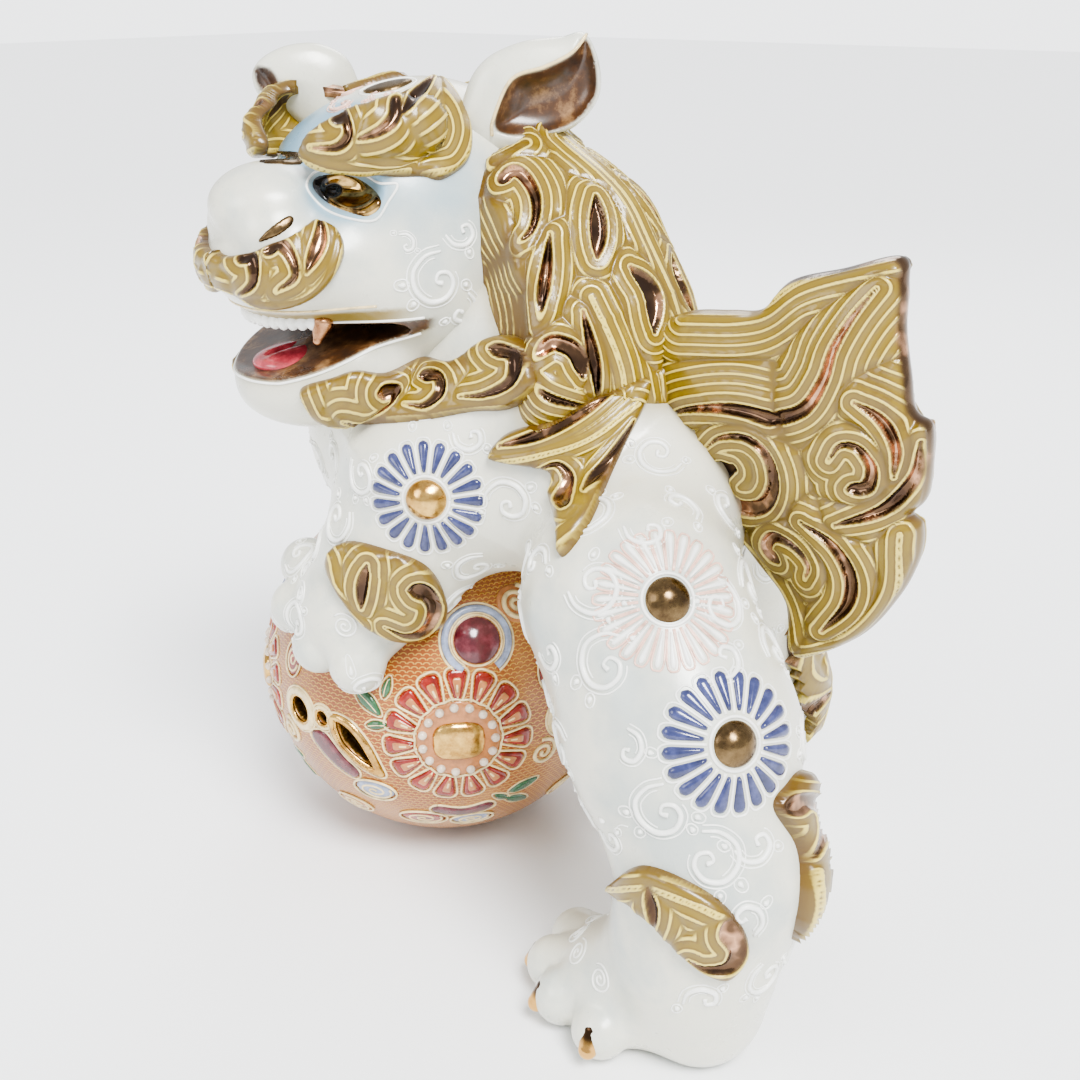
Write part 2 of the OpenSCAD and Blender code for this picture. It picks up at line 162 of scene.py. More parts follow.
def net(field, low, high, step):
    """Surface nets: quads around the zero level of a field sampled on a grid."""
    low = np.asarray(low, float)
    shape = [int(math.ceil((h - l) / step)) + 1 for l, h in zip(low, high)]
    axes = [low[i] + step * np.arange(shape[i]) for i in range(3)]
    v = np.empty(shape)
    yz = np.stack(np.meshgrid(axes[1], axes[2], indexing="ij"), -1).reshape(-1, 2)
    slab = max(1, int(60000 / len(yz)))
    for i in range(0, shape[0], slab):
        xs = axes[0][i:i + slab]
        p = np.column_stack([np.repeat(xs, len(yz)), np.tile(yz, (len(xs), 1))])
        v[i:i + slab] = field(p).reshape(len(xs), shape[1], shape[2])
    cells = [n - 1 for n in shape]
    total = cells[0] * cells[1] * cells[2]
    sums = np.zeros((total, 3))
    counts = np.zeros(total)
    quads = []
    for axis in range(3):
        v0 = np.take(v, range(shape[axis] - 1), axis)
        v1 = np.take(v, range(1, shape[axis]), axis)
        at = np.argwhere((v0 < 0) != (v1 < 0))
        a0, a1 = v0[tuple(at.T)], v1[tuple(at.T)]
        u, w = (axis + 1) % 3, (axis + 2) % 3
        ok = (at[:, u] > 0) & (at[:, w] > 0) & (at[:, u] < cells[u]) & (at[:, w] < cells[w])
        at, a0, a1 = at[ok], a0[ok], a1[ok]
        pos = at.astype(float)
        pos[:, axis] += a0 / (a0 - a1)
        around = []
        for du, dw in ((-1, -1), (0, -1), (0, 0), (-1, 0)):
            c = at.copy()
            c[:, u] += du
            c[:, w] += dw
            flat = (c[:, 0] * cells[1] + c[:, 1]) * cells[2] + c[:, 2]
            around.append(flat)
            counts += np.bincount(flat, minlength=total)
            for k in range(3):
                sums[:, k] += np.bincount(flat, weights=pos[:, k], minlength=total)
        q = np.stack(around, 1)
        q[a0 >= 0] = q[a0 >= 0][:, ::-1]
        quads.append(q)
    quads = np.concatenate(quads)
    used = counts > 0
    index = np.cumsum(used) - 1
    verts = low + step * (sums[used] / counts[used][:, None])
    return verts, index[quads]


def split(verts, quads):
    """Every quad cut into four."""
    n = len(verts)
    edges = np.sort(np.stack([quads, np.roll(quads, -1, 1)], -1).reshape(-1, 2), 1)
    key = edges[:, 0].astype(np.int64) * n + edges[:, 1]
    first, inverse = np.unique(key, return_index=True, return_inverse=True)[1:]
    inverse = inverse.reshape(-1, 4)
    mids = verts[edges[first]].mean(1)
    centres = verts[quads].mean(1)
    e = n + inverse
    c = n + len(mids) + np.arange(len(quads))
    parts = [np.stack([quads[:, i], e[:, i], c, e[:, i - 1]], 1) for i in range(4)]
    return np.concatenate([verts, mids, centres]), np.concatenate(parts)


def skin_of(field, low, high, step, splits=1):
    """A dense smooth mesh of a field: points, quads and normals."""
    verts, quads = net(field, low, high, step)
    verts, normals = settle(field, verts, 2)
    for _ in range(splits):
        verts, quads = split(verts, quads)
        verts, normals = settle(field, verts, 1)
    return verts, quads, normals


def mesh_piece(name, verts, faces, material, nodes, slot, masks=None):
    """A Blender piece from points in the lion's frame, riding on the part's one body."""
    mesh = bpy.data.meshes.new(name)
    faces = [np.asarray(f) for f in (faces if isinstance(faces, (list, tuple)) else [faces]) if len(f)]
    mesh.vertices.add(len(verts))
    mesh.vertices.foreach_set("co", ((np.asarray(verts) + SHIFT) * MM).astype(np.float32).ravel())
    sizes = np.concatenate([np.full(len(f), f.shape[1]) for f in faces])
    flat = np.concatenate([f.ravel() for f in faces])
    mesh.loops.add(len(flat))
    mesh.loops.foreach_set("vertex_index", flat.astype(np.int32))
    mesh.polygons.add(len(sizes))
    mesh.polygons.foreach_set("loop_start", (np.cumsum(sizes) - sizes).astype(np.int32))
    mesh.update(calc_edges=True)
    mesh.validate()
    mesh.shade_smooth()
    for mask, values in (masks or {}).items():
        layer = mesh.attributes.new(mask, "FLOAT", "POINT")
        layer.data.foreach_set("value", np.asarray(values, np.float32))
    mesh.materials.append(material)
    piece = bpy.data.objects.new(name, mesh)
    bpy.context.scene.collection.objects.link(piece)
    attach(piece, BODY)
    if nodes:
        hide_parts(*nodes)
    return piece


# ---- materials ----

def shader(name, colour, rough, **sockets):
    """A principled material with its plain numbers set on the shader's own sockets."""
    material = bpy.data.materials.new(name)
    material.use_nodes = True
    tree = material.node_tree
    surface = tree.nodes["Principled BSDF"]
    surface.inputs["Base Color"].default_value = (*colour, 1)
    surface.inputs["Roughness"].default_value = rough
    for socket, value in sockets.items():
        surface.inputs[socket.replace("_", " ")].default_value = value
    return material, tree, surface


def noise(tree, scale, detail=4.0, rough=0.6):
    """Noise on object coordinates, scale in cycles a metre."""
    place = tree.nodes.get("place") or tree.nodes.new("ShaderNodeTexCoord")
    place.name = "place"
    node = tree.nodes.new("ShaderNodeTexNoise")
    node.inputs["Scale"].default_value = scale
    node.inputs["Detail"].default_value = detail
    node.inputs["Roughness"].default_value = rough
    tree.links.new(place.outputs["Object"], node.inputs["Vector"])
    return node.outputs["Fac"]


def ramp(tree, source, stops):
    """Colours along a value: stops are (position, (r, g, b)) pairs."""
    node = tree.nodes.new("ShaderNodeValToRGB")
    band = node.color_ramp
    while len(band.elements) < len(stops):
        band.elements.new(0.5)
    for element, (position, colour) in zip(band.elements, stops):
        element.position = position
        element.color = (*colour, 1) if len(colour) == 3 else colour
    tree.links.new(source, node.inputs["Fac"])
    return node.outputs["Color"]


def mix(tree, factor, a, b, mode="MIX"):
    """Mixes two colours, each a socket or an (r, g, b) triple."""
    node = tree.nodes.new("ShaderNodeMix")
    node.data_type = "RGBA"
    node.blend_type = mode
    for socket, value in ((node.inputs[0], factor), (node.inputs[6], a), (node.inputs[7], b)):
        if isinstance(value, bpy.types.NodeSocket):
            tree.links.new(value, socket)
        elif isinstance(value, (int, float)):
            socket.default_value = value
        else:
            socket.default_value = (*value, 1)
    return node.outputs[2]


def mask(tree, name):
    node = tree.nodes.new("ShaderNodeAttribute")
    node.attribute_name = name
    return node.outputs["Fac"]


def remap(tree, source, low, high, to_low=0.0, to_high=1.0):
    node = tree.nodes.new("ShaderNodeMapRange")
    node.inputs["From Min"].default_value = low
    node.inputs["From Max"].default_value = high
    node.inputs["To Min"].default_value = to_low
    node.inputs["To Max"].default_value = to_high
    tree.links.new(source, node.inputs["Value"])
    return node.outputs["Result"]


def bump(tree, surface, source, height, strength=1.0):
    """Height in metres, from a 0 to 1 value."""
    node = tree.nodes.new("ShaderNodeBump")
    node.inputs["Distance"].default_value = height
    node.inputs["Strength"].default_value = strength
    tree.links.new(source, node.inputs["Height"])
    tree.links.new(node.outputs["Normal"], surface.inputs["Normal"])


WHITE = (0.67, 0.66, 0.56)
WHITE_COOL = (0.47, 0.51, 0.48)
WHITE_WARM = (0.63, 0.56, 0.39)
SPECK_GREY = (0.34, 0.34, 0.28)
PALE_BLUE = (0.22, 0.36, 0.46)
KHAKI = (0.21, 0.14, 0.010)
KHAKI_PALE = (0.32, 0.23, 0.025)
KHAKI_DARK = (0.10, 0.05, 0.006)
CREAM = (0.68, 0.54, 0.13)
MOTTLED_BROWN = (0.075, 0.031, 0.010)
BRONZE_GLINT = (0.12, 0.065, 0.032)
COPPER = (0.62, 0.34, 0.20)
GOLD = (0.76, 0.50, 0.17)
BLUE = (0.034, 0.042, 0.13)
PINK = (0.78, 0.50, 0.40)
RED = (0.23, 0.008, 0.001)
MAROON = (0.10, 0.011, 0.018)
GREEN = (0.03, 0.11, 0.045)
BALL_TAN = (0.28, 0.068, 0.006)


def glaze_finish(tree):
    """The white glaze's colour: cool and warm clouds and a fine dark speckle."""
    clouds = ramp(tree, noise(tree, 18.0, 5.0, 0.62),
                  [(0.32, WHITE_COOL), (0.48, WHITE), (0.62, WHITE), (0.78, WHITE_WARM)])
    speck = remap(tree, noise(tree, 900.0, 2.0, 0.8), 0.62, 0.74, 0.0, 0.22)
    return mix(tree, speck, clouds, SPECK_GREY)


def white_glaze():
    """The glaze, washed blue, stained khaki or painted brown where its masks say so; the brown is also
    painted shade on the skin next to the ball.
    """
    material, tree, surface = shader("white_glaze", WHITE, 0.32, Coat_Weight=0.55, Coat_Roughness=0.22)
    colour = glaze_finish(tree)
    colour = mix(tree, mask(tree, "wash"), colour, PALE_BLUE)
    colour = mix(tree, mask(tree, "tan"), colour, KHAKI)
    brown = ramp(tree, noise(tree, 110.0, 6.0, 0.7),
                 [(0.36, (0.035, 0.018, 0.010)), (0.52, MOTTLED_BROWN), (0.70, (0.30, 0.17, 0.075))])
    colour = mix(tree, mask(tree, "dark"), colour, brown)
    tree.links.new(colour, surface.inputs["Base Color"])
    tree.links.new(remap(tree, noise(tree, 60.0), 0.3, 0.7, 0.24, 0.40), surface.inputs["Roughness"])
    bump(tree, surface, noise(tree, 420.0, 3.0, 0.7), 0.00012, 0.6)
    return material


def slip_white():
    """Thick white slip, a little brighter than the glaze round it."""
    material, tree, surface = shader("slip_white", (0.86, 0.86, 0.80), 0.35,
                                     Coat_Weight=0.4, Coat_Roughness=0.2)
    colour = ramp(tree, noise(tree, 120.0), [(0.3, (0.78, 0.79, 0.75)), (0.65, (0.92, 0.92, 0.88))])
    tree.links.new(colour, surface.inputs["Base Color"])
    bump(tree, surface, noise(tree, 700.0), 0.00008, 0.5)
    return material


def maths(tree, operation, a, b=0.0):
    """A maths node on sockets or plain numbers."""
    node = tree.nodes.new("ShaderNodeMath")
    node.operation = operation
    for socket, value in zip(node.inputs, (a, b)):
        if isinstance(value, bpy.types.NodeSocket):
            tree.links.new(value, socket)
        else:
            socket.default_value = value
    return node.outputs[0]


# The hair's cream lines: millimetres between them, and from a groove's edge to the first one
LINE_GAP = 2.7
LINE_START = 0.55


def hair_enamel():
    """Khaki-gold hair: cream raised lines at even distances from the grooves, which are lustre."""
    material, tree, surface = shader("hair_enamel", KHAKI, 0.34, Coat_Weight=0.45, Coat_Roughness=0.14)
    clouds = ramp(tree, noise(tree, 38.0, 5.0, 0.65),
                  [(0.28, KHAKI_DARK), (0.44, KHAKI), (0.60, KHAKI), (0.76, KHAKI_PALE)])
    lustre = mask(tree, "lustre")
    metal = ramp(tree, noise(tree, 75.0, 3.0, 0.5),
                 [(0.40, (0.06, 0.03, 0.016)), (0.54, BRONZE_GLINT), (0.63, COPPER),
                  (0.72, (0.10, 0.05, 0.025))])
    step = maths(tree, "DIVIDE", maths(tree, "SUBTRACT", mask(tree, "flow"), LINE_START), LINE_GAP)
    wave = maths(tree, "FRACT", maths(tree, "ADD", step, 0.5))
    off_line = maths(tree, "MULTIPLY", maths(tree, "ABSOLUTE", maths(tree, "SUBTRACT", wave, 0.5)), LINE_GAP)
    cream = maths(tree, "MULTIPLY", remap(tree, off_line, 0.24, 0.44, 1.0, 0.0), mask(tree, "comb"))
    beside = maths(tree, "MULTIPLY", remap(tree, off_line, 0.44, 0.95, 0.55, 0.0), mask(tree, "comb"))
    colour = mix(tree, mask(tree, "stain"), clouds, KHAKI_DARK)
    colour = mix(tree, beside, colour, KHAKI_DARK)
    colour = mix(tree, cream, colour, CREAM)
    colour = mix(tree, lustre, colour, metal)
    tree.links.new(colour, surface.inputs["Base Color"])
    tree.links.new(lustre, surface.inputs["Metallic"])
    tree.links.new(remap(tree, lustre, 0, 1, 0.34, 0.16), surface.inputs["Roughness"])
    bump(tree, surface, cream, 0.00025, 0.6)
    return material


def lustre(name, colour, dark, rough=0.16, amount=0.5):
    """Fired metal lustre with darker worn clouds."""
    material, tree, surface = shader(name, colour, rough, Metallic=1.0)
    worn = ramp(tree, noise(tree, 160.0, 5.0, 0.7), [(0.5 - amount / 4, colour), (0.5 + amount / 3, dark)])
    tree.links.new(worn, surface.inputs["Base Color"])
    tree.links.new(remap(tree, noise(tree, 300.0), 0.3, 0.7, rough * 0.7, rough * 1.9),
                   surface.inputs["Roughness"])
    bump(tree, surface, noise(tree, 260.0, 2.0), 0.00025, 0.5)
    return material


def enamel(name, colour, light=1.5, rough=0.18):
    """Thick glossy enamel, paler where it runs thin."""
    material, tree, surface = shader(name, colour, rough, Coat_Weight=0.6, Coat_Roughness=0.08)
    pale = tuple(min(0.95, c * light + 0.02) for c in colour)
    dark = tuple(c * 0.6 for c in colour)
    shade = ramp(tree, noise(tree, 260.0, 4.0, 0.65), [(0.3, dark), (0.5, colour), (0.72, pale)])
    tree.links.new(shade, surface.inputs["Base Color"])
    bump(tree, surface, noise(tree, 600.0), 0.0001, 0.5)
    return material


GLAZE = white_glaze()
SLIP = slip_white()
HAIR = hair_enamel()
GOLD_LUSTRE = lustre("gold_lustre", GOLD, (0.36, 0.18, 0.05))
BRONZE_LUSTRE = lustre("bronze_lustre", (0.22, 0.15, 0.075), (0.07, 0.045, 0.025), 0.2, 0.6)
BLUE_ENAMEL = enamel("blue_enamel", BLUE)
PINK_ENAMEL = enamel("pink_enamel", PINK, 1.15, 0.3)
RED_ENAMEL = enamel("red_enamel", RED, 1.6, 0.25)
MAROON_ENAMEL = enamel("maroon_enamel", MAROON, 1.8)
GREEN_ENAMEL = enamel("green_enamel", GREEN, 1.6)
CREAM_ENAMEL = enamel("cream_enamel", (0.76, 0.60, 0.32), 1.15, 0.3)
PEARL_ENAMEL = enamel("pearl_enamel", (0.62, 0.52, 0.42), 1.2, 0.12)


# The ball's fish-scale ground: its line colour, and each scale's width and row height in millimetres
BALL_CREAM = (0.60, 0.33, 0.07)
SCALE_WIDTH = 2.9
SCALE_ROW = 1.5


def ball_ground():
    """Tan enamel with rows of raised cream scales; gilt where the wall shows in the piercings."""
    material, tree, surface = shader("ball_ground", BALL_TAN, 0.35, Coat_Weight=0.4, Coat_Roughness=0.15)
    rows = maths(tree, "DIVIDE", mask(tree, "rows"), SCALE_ROW)
    odd = maths(tree, "MULTIPLY", maths(tree, "FLOORED_MODULO", maths(tree, "FLOOR", rows), 2.0), 0.5)
    across = maths(tree, "ADD", maths(tree, "DIVIDE", mask(tree, "across"), SCALE_WIDTH), odd)
    x = maths(tree, "SUBTRACT", maths(tree, "FRACT", across), 0.5)
    y = maths(tree, "MULTIPLY", maths(tree, "FRACT", rows), SCALE_ROW / SCALE_WIDTH * 1.5)
    square = maths(tree, "ADD", maths(tree, "MULTIPLY", x, x), maths(tree, "MULTIPLY", y, y))
    r = maths(tree, "POWER", square, 0.5)
    arc = remap(tree, maths(tree, "ABSOLUTE", maths(tree, "SUBTRACT", r, 0.40)), 0.06, 0.13, 1.0, 0.0)
    base = ramp(tree, noise(tree, 24.0, 4.0, 0.6),
                [(0.3, (0.28, 0.075, 0.018)), (0.5, BALL_TAN), (0.7, (0.46, 0.20, 0.065))])
    colour = mix(tree, arc, base, BALL_CREAM)
    gilt = mask(tree, "gilt")
    colour = mix(tree, gilt, colour, (0.60, 0.38, 0.12))
    tree.links.new(colour, surface.inputs["Base Color"])
    tree.links.new(gilt, surface.inputs["Metallic"])
    bump(tree, surface, arc, 0.0003, 0.8)
    return material


def claw_lustre():
    """Gold at a claw's tip, dark at its root."""
    material, tree, surface = shader("claw_lustre", GOLD, 0.2, Metallic=1.0)
    colour = mix(tree, mask(tree, "dark"), (0.62, 0.36, 0.12), (0.06, 0.035, 0.02))
    tree.links.new(colour, surface.inputs["Base Color"])
    bump(tree, surface, noise(tree, 260.0, 2.0), 0.0002, 0.5)
    return material


TONGUE = enamel("tongue_enamel", (0.52, 0.07, 0.09), 1.5, 0.2)
COPPER_LUSTRE = lustre("copper_lustre", (0.72, 0.42, 0.24), (0.30, 0.14, 0.07), 0.22)
TAN_ENAMEL = enamel("tan_enamel", (0.44, 0.17, 0.05), 1.25, 0.3)
BLUE_GREY_ENAMEL = enamel("blue_grey_enamel", (0.26, 0.30, 0.42), 1.4, 0.25)
BALL_GROUND = ball_ground()
CLAW = claw_lustre()


# ---- the white body: trunk and legs ----

def trunk(p):
    d = rod(p, (4, -68, 160, 46), (2, -14, 164, 45))
    d = blend(d, rod(p, (2, -14, 164, 45), (4, 20, 150, 35)), 14)
    d = blend(d, rod(p, (2, -20, 178, 40), (6, -46, 222, 30)), 16)
    return blend(d, rod(p, (4, 20, 152, 28), (2, 36, 160, 14)), 10)


LEFT_HIND = [(42, 40, 133, 34), (52, 64, 100, 31), (57, 80, 64, 25), (60, 76, 34, 22), (60, 79, 15, 18)]
RIGHT_HIND = [(-36, 2, 132, 36), (-46, 16, 98, 30), (-54, 26, 62, 25), (-58, 22, 34, 22), (-58, 23, 15, 18)]
LEFT_TOES = [(82, 58, 10), (77, 40, 10), (66, 29, 10), (50, 27, 10)]
RIGHT_TOES = [(-44, -22, 10), (-58, -27, 10), (-73, -22, 10), (-82, -8, 10)]
LEFT_PAD = (62, 56, 15)
RIGHT_PAD = (-62, 0, 15)
LEFT_FORE = [(36, -42, 150, 33), (46, -52, 126, 23), (54, -58, 112, 19)]
RIGHT_FORE = [(-32, -52, 148, 33), (-42, -66, 126, 23), (-48, -76, 112, 19)]
LEFT_FINGERS = [(48, -93, 112), (61, -85, 103), (67, -69, 95), (67, -52, 93)]
RIGHT_FINGERS = [(-39, -109, 111), (-54, -101, 102), (-63, -88, 95), (-66, -71, 93)]


def toes(p, root, tips, root_r, tip_r):
    """Lobes from a knuckle to each toe tip, with a crease between neighbours."""
    root = np.asarray(root, float)
    d = None
    for tip in tips:
        tip = np.asarray(tip, float)
        middle = root + (tip - root) * 0.45
        lobe = rod(p, (*middle, root_r), (*tip, tip_r))
        d = lobe if d is None else blend(d, lobe, 1.6)
    return d


def hind_leg(p, lumps, pad, tips):
    d = limb(p, lumps, 16)
    sole = egg(p, pad, (21, 21, 20))
    foot = blend(sole, toes(p, (pad[0], pad[1], 15), tips, 12.5, 9.0), 4)
    return blend(d, foot, 9)


def left_hind(p):
    return hind_leg(p, LEFT_HIND, LEFT_PAD, LEFT_TOES)


def right_hind(p):
    return hind_leg(p, RIGHT_HIND, RIGHT_PAD, RIGHT_TOES)


def fore_leg(p, lumps, wrist, tips):
    d = limb(p, lumps, 12)
    palm = length(p - np.asarray(wrist, float)) - 18
    return blend(d, blend(palm, toes(p, wrist, tips, 12.5, 9.5), 4), 8)


def left_fore(p):
    return fore_leg(p, LEFT_FORE, (57, -62, 107), LEFT_FINGERS)


def right_fore(p):
    return fore_leg(p, RIGHT_FORE, (-50, -82, 107), RIGHT_FINGERS)


LIMBS = {
    "left_front_leg": (left_fore, 15),
    "right_front_leg": (right_fore, 15),
    "left_hind_leg": (left_hind, 16),
    "right_hind_leg": (right_hind, 16),
}


def body(p):
    d = trunk(p)
    for field, k in LIMBS.values():
        d = blend(d, field(p), k)
    return keep(d, -p[:, 2], 1.5)


# ---- the head ----

def lip_height(q):
    """How far a head point is over the line where the lips would meet, and half the gap there."""
    gape = np.clip((q[:, 0] - 20) * 0.17, 0, 7.5)
    line = q[:, 2] + 19 + 0.10 * (q[:, 0] - 22) - 0.0016 * (np.abs(q[:, 1]) - 10) ** 2 + gape * 0.6
    return line, gape


def head(p):
    q = to_head(p)
    a = folded(q)
    d = egg(q, (0, 0, 8), (46, 44, 42))
    d = blend(d, egg(a, (15, 22, -6), (30, 24, 27)), 10)
    d = blend(d, egg(a, (20, 8, 14), (28, 30, 26)), 8)
    d = blend(d, egg(q, (42, 0, -2), (32, 34, 21)), 9)
    d = blend(d, egg(q, (54, 0, 15), (20, 19, 13)), 4)
    d = blend(d, egg(a, (58, 9, 9), (13, 12, 9)), 3)
    d = blend(d, egg(q, (28, 0, -36), (40, 33, 22)), 8)
    d = blend(d, egg(q, (48, 0, -42), (20, 19, 12)), 6)
    d = carve(d, egg(a, (43, 25, 21), (9, 11, 6)), 4)
    lip, gape = lip_height(q)
    inside = np.maximum(np.abs(lip) - gape, 24 - q[:, 0])
    inside = keep(inside, egg(q, (34, 0, -24), (44, 38, 30)), 3)
    return carve(d, inside, 1.2)


# ---- lines, outlines and seats ----

def curve(points, step=0.7, closed=False):
    """A smooth evenly sampled line through given points."""
    p = np.asarray(points, float)
    if closed:
        ext = np.vstack([p[-1:], p, p[:2]])
    else:
        ext = np.vstack([2 * p[0] - p[1], p, 2 * p[-1] - p[-2]])
    t = np.linspace(0, 1, 14, endpoint=False)[:, None]
    parts = []
    for i in range(len(ext) - 3):
        a, b, c, d = ext[i:i + 4]
        parts.append(0.5 * (2 * b + (c - a) * t + (2 * a - 5 * b + 4 * c - d) * t ** 2
                            + (3 * b - a - 3 * c + d) * t ** 3))
    parts.append(ext[-2:-1])
    q = np.vstack(parts)
    along = np.r_[0, np.cumsum(length(np.diff(q, axis=0)))]
    where = np.linspace(0, along[-1], max(6, int(along[-1] / step) + 1))
    return np.column_stack([np.interp(where, along, q[:, k]) for k in range(q.shape[1])])


def region(points, step=0.6, margin=12.0):
    """Signed distance to a closed outline in a plane, looked up on a grid."""
    line = curve(points, 1.0, True)[:-1]
    low, high = line.min(0) - margin, line.max(0) + margin
    n = np.ceil((high - low) / step).astype(int) + 1
    u, v = low[0] + step * np.arange(n[0]), low[1] + step * np.arange(n[1])
    grid = np.stack(np.meshgrid(u, v, indexing="ij"), -1).reshape(-1, 2)
    closest = np.full(len(grid), 1e9)
    inside = np.zeros(len(grid), bool)
    for a, b in zip(line, np.roll(line, -1, 0)):
        ab = b - a
        t = np.clip(((grid - a) @ ab) / max(ab @ ab, 1e-9), 0, 1)
        closest = np.minimum(closest, ((grid - a - t[:, None] * ab) ** 2).sum(1))
        crossing = (a[1] > grid[:, 1]) != (b[1] > grid[:, 1])
        reach = a[0] + (grid[:, 1] - a[1]) / (ab[1] if ab[1] else 1e-9) * ab[0]
        inside ^= crossing & (grid[:, 0] < reach)
    signed = (np.where(inside, -1, 1) * np.sqrt(closest)).reshape(n)

    def look(q):
        f = np.clip((q - low) / step, 0, n - 1.001)
        i = f.astype(int)
        w = f - i
        i0, j0 = i[:, 0], i[:, 1]
        top = signed[i0, j0] * (1 - w[:, 0]) + signed[i0 + 1, j0] * w[:, 0]
        bottom = signed[i0, j0 + 1] * (1 - w[:, 0]) + signed[i0 + 1, j0 + 1] * w[:, 0]
        return top * (1 - w[:, 1]) + bottom * w[:, 1]

    look.low, look.high = line.min(0), line.max(0)
    return look


def seat(origin, around, up):
    """A place to work from: its origin and its right, upward and outward directions."""
    a, e = math.radians(around), math.radians(up)
    n = vec(math.sin(a) * math.cos(e), -math.cos(a) * math.cos(e), math.sin(e))
    u = vec(math.cos(a), math.sin(a), 0)
    return np.asarray(origin, float), u, np.cross(n, u), n


def seat_on(field, origin, around, up):
    """A seat that is moved onto a field's surface and turned to face straight out of it."""
    start = seat(origin, around, up)
    p, n = settle(field, start[0][None, :], 6, 6.0)
    n = n[0]
    u = np.cross(UP, n)
    u = u / np.linalg.norm(u)
    return p[0], u, np.cross(n, u), n


def facing(p, n):
    """The seat at a point that faces along its normal."""
    return seat(p, math.degrees(math.atan2(n[0], -n[1])), math.degrees(math.asin(np.clip(n[2], -1, 1))))


def head_facing(spot):
    """The seat on the head's skin nearest a spot in the head's own axes."""
    p, n = settle(head, from_head(vec(*spot))[None, :], 6, 6.0)
    return facing(p[0], n[0])


def drape(place, uv, field, reach=40.0, rounds=26):
    """Drops plane points onto a field, and gives points, normals and which ones landed."""
    origin, u, v, n = place
    uv = np.asarray(uv, float)
    start = origin + uv[:, :1] * u + uv[:, 1:2] * v + n * reach
    t = np.zeros(len(uv))
    for _ in range(rounds):
        t += np.clip(field(start - n * t[:, None]) * 0.85, -4, 12)
    p = start - n * t[:, None]
    landed = (np.abs(field(p)) < 0.3) & (t < 2 * reach)
    g = gradient(field, p)
    return p, g / np.maximum(length(g), 1e-6)[:, None], landed


def soft(value, low, high):
    """A smooth step from 0 at low to 1 at high."""
    t = np.clip((value - low) / (high - low), 0, 1)
    return t * t * (3 - 2 * t)


# ---- hair: grooves in lustre, with raised lines that follow them ----

def groove(shape, width, points):
    """A groove as samples and half widths: a comma is thick at its end, a lens in its middle."""
    line = curve(points, 0.8)
    t = np.linspace(0, 1, len(line))
    if shape == "comma":
        half = width * np.minimum(t ** 0.8 * 1.05, 1) * np.sqrt(np.clip((1 - t) / 0.07, 0.15, 1))
    elif shape == "lens":
        half = width * np.sin(math.pi * np.clip(t, 0.02, 0.98)) ** 0.75
    else:
        half = np.zeros(len(line))
    return line, half, shape != "guide"


def flow(points, grooves):
    """Distances from points to the nearest groove and the next, and to the nearest real groove."""
    points = np.asarray(points, float)
    square = (points ** 2).sum(1)[:, None]
    gaps = []
    for line, half, _ in grooves:
        gap = np.sqrt(np.maximum(square + (line ** 2).sum(1) - 2 * points @ line.T, 0)) - half
        gaps.append(gap.min(1))
    gaps = np.array(gaps)
    real = gaps[[is_real for _, _, is_real in grooves]].min(0)
    order = np.sort(gaps, 0)
    return order[0], order[1], real


def comb(first, second, real, relief=1.0):
    """Height and masks of the hair at each point."""
    ridge = np.abs(((first - LINE_START) / LINE_GAP + 0.5) % 1 - 0.5) * LINE_GAP
    ridge = 1 - soft(ridge, 0.22, 0.55)
    show = soft(first, LINE_START - 0.5, LINE_START - 0.2) * soft(second - first, 0.3, 1.0)
    ridge = ridge * show
    rise = 0.8 * np.exp(-((first - 2.6) / 2.4) ** 2) - 1.5 * soft(-real, -0.35, 1.0)
    rise = rise - 0.8 * np.exp(-((second - first) / 1.5) ** 2)
    lustre = soft(-real, -0.3, 0.15)
    return relief * rise + 0.32 * ridge, show * (1 - lustre), lustre


def groove_stain(first, second, real):
    """Dark enamel along the grooves and where two flows of hair meet."""
    return 0.5 * near(real, 1.6) + 0.45 * np.exp(-((second - first) / 1.8) ** 2)


def hair_masks(first, combed, lustre, stain):
    """The point attributes that the hair's material reads."""
    return {"flow": first, "comb": combed, "lustre": lustre, "stain": np.clip(stain, 0, 1)}


def border_walls(quads, count):
    """Side walls that join a sheet of quads to its copy, count points further on."""
    edges = np.stack([quads, np.roll(quads, -1, 1)], -1).reshape(-1, 2)
    key = np.sort(edges, 1)
    key = key[:, 0].astype(np.int64) * (2 * count) + key[:, 1]
    _, index, uses = np.unique(key, return_index=True, return_counts=True)
    rim = edges[index[uses == 1]]
    return np.stack([rim[:, 1], rim[:, 0], rim[:, 0] + count, rim[:, 1] + count], 1)


def grid_quads(rows, columns):
    """Quads between the points of a grid that is numbered row by row."""
    index = np.arange(rows * columns).reshape(rows, columns)
    return np.stack([index[:-1, :-1], index[1:, :-1], index[1:, 1:], index[:-1, 1:]], -1).reshape(-1, 4)


def sheet_grid(look, step):
    """A grid of plane points over an outline, and the quads between them."""
    low, high = look.low - 2 * step, look.high + 2 * step
    n = np.ceil((high - low) / step).astype(int) + 1
    uv = np.stack(np.meshgrid(low[0] + step * np.arange(n[0]), low[1] + step * np.arange(n[1]),
                              indexing="ij"), -1).reshape(-1, 2)
    return uv, grid_quads(*n)


def compact(quads, *arrays):
    """The quads renumbered over the points that they use, and the arrays cut down to those points."""
    used = np.unique(quads)
    where = np.zeros(int(quads.max()) + 1, int)
    where[used] = np.arange(len(used))
    return (where[quads],) + tuple(a[used] for a in arrays)


RIM_PROBE = 0.3
STEEPEST = 0.12


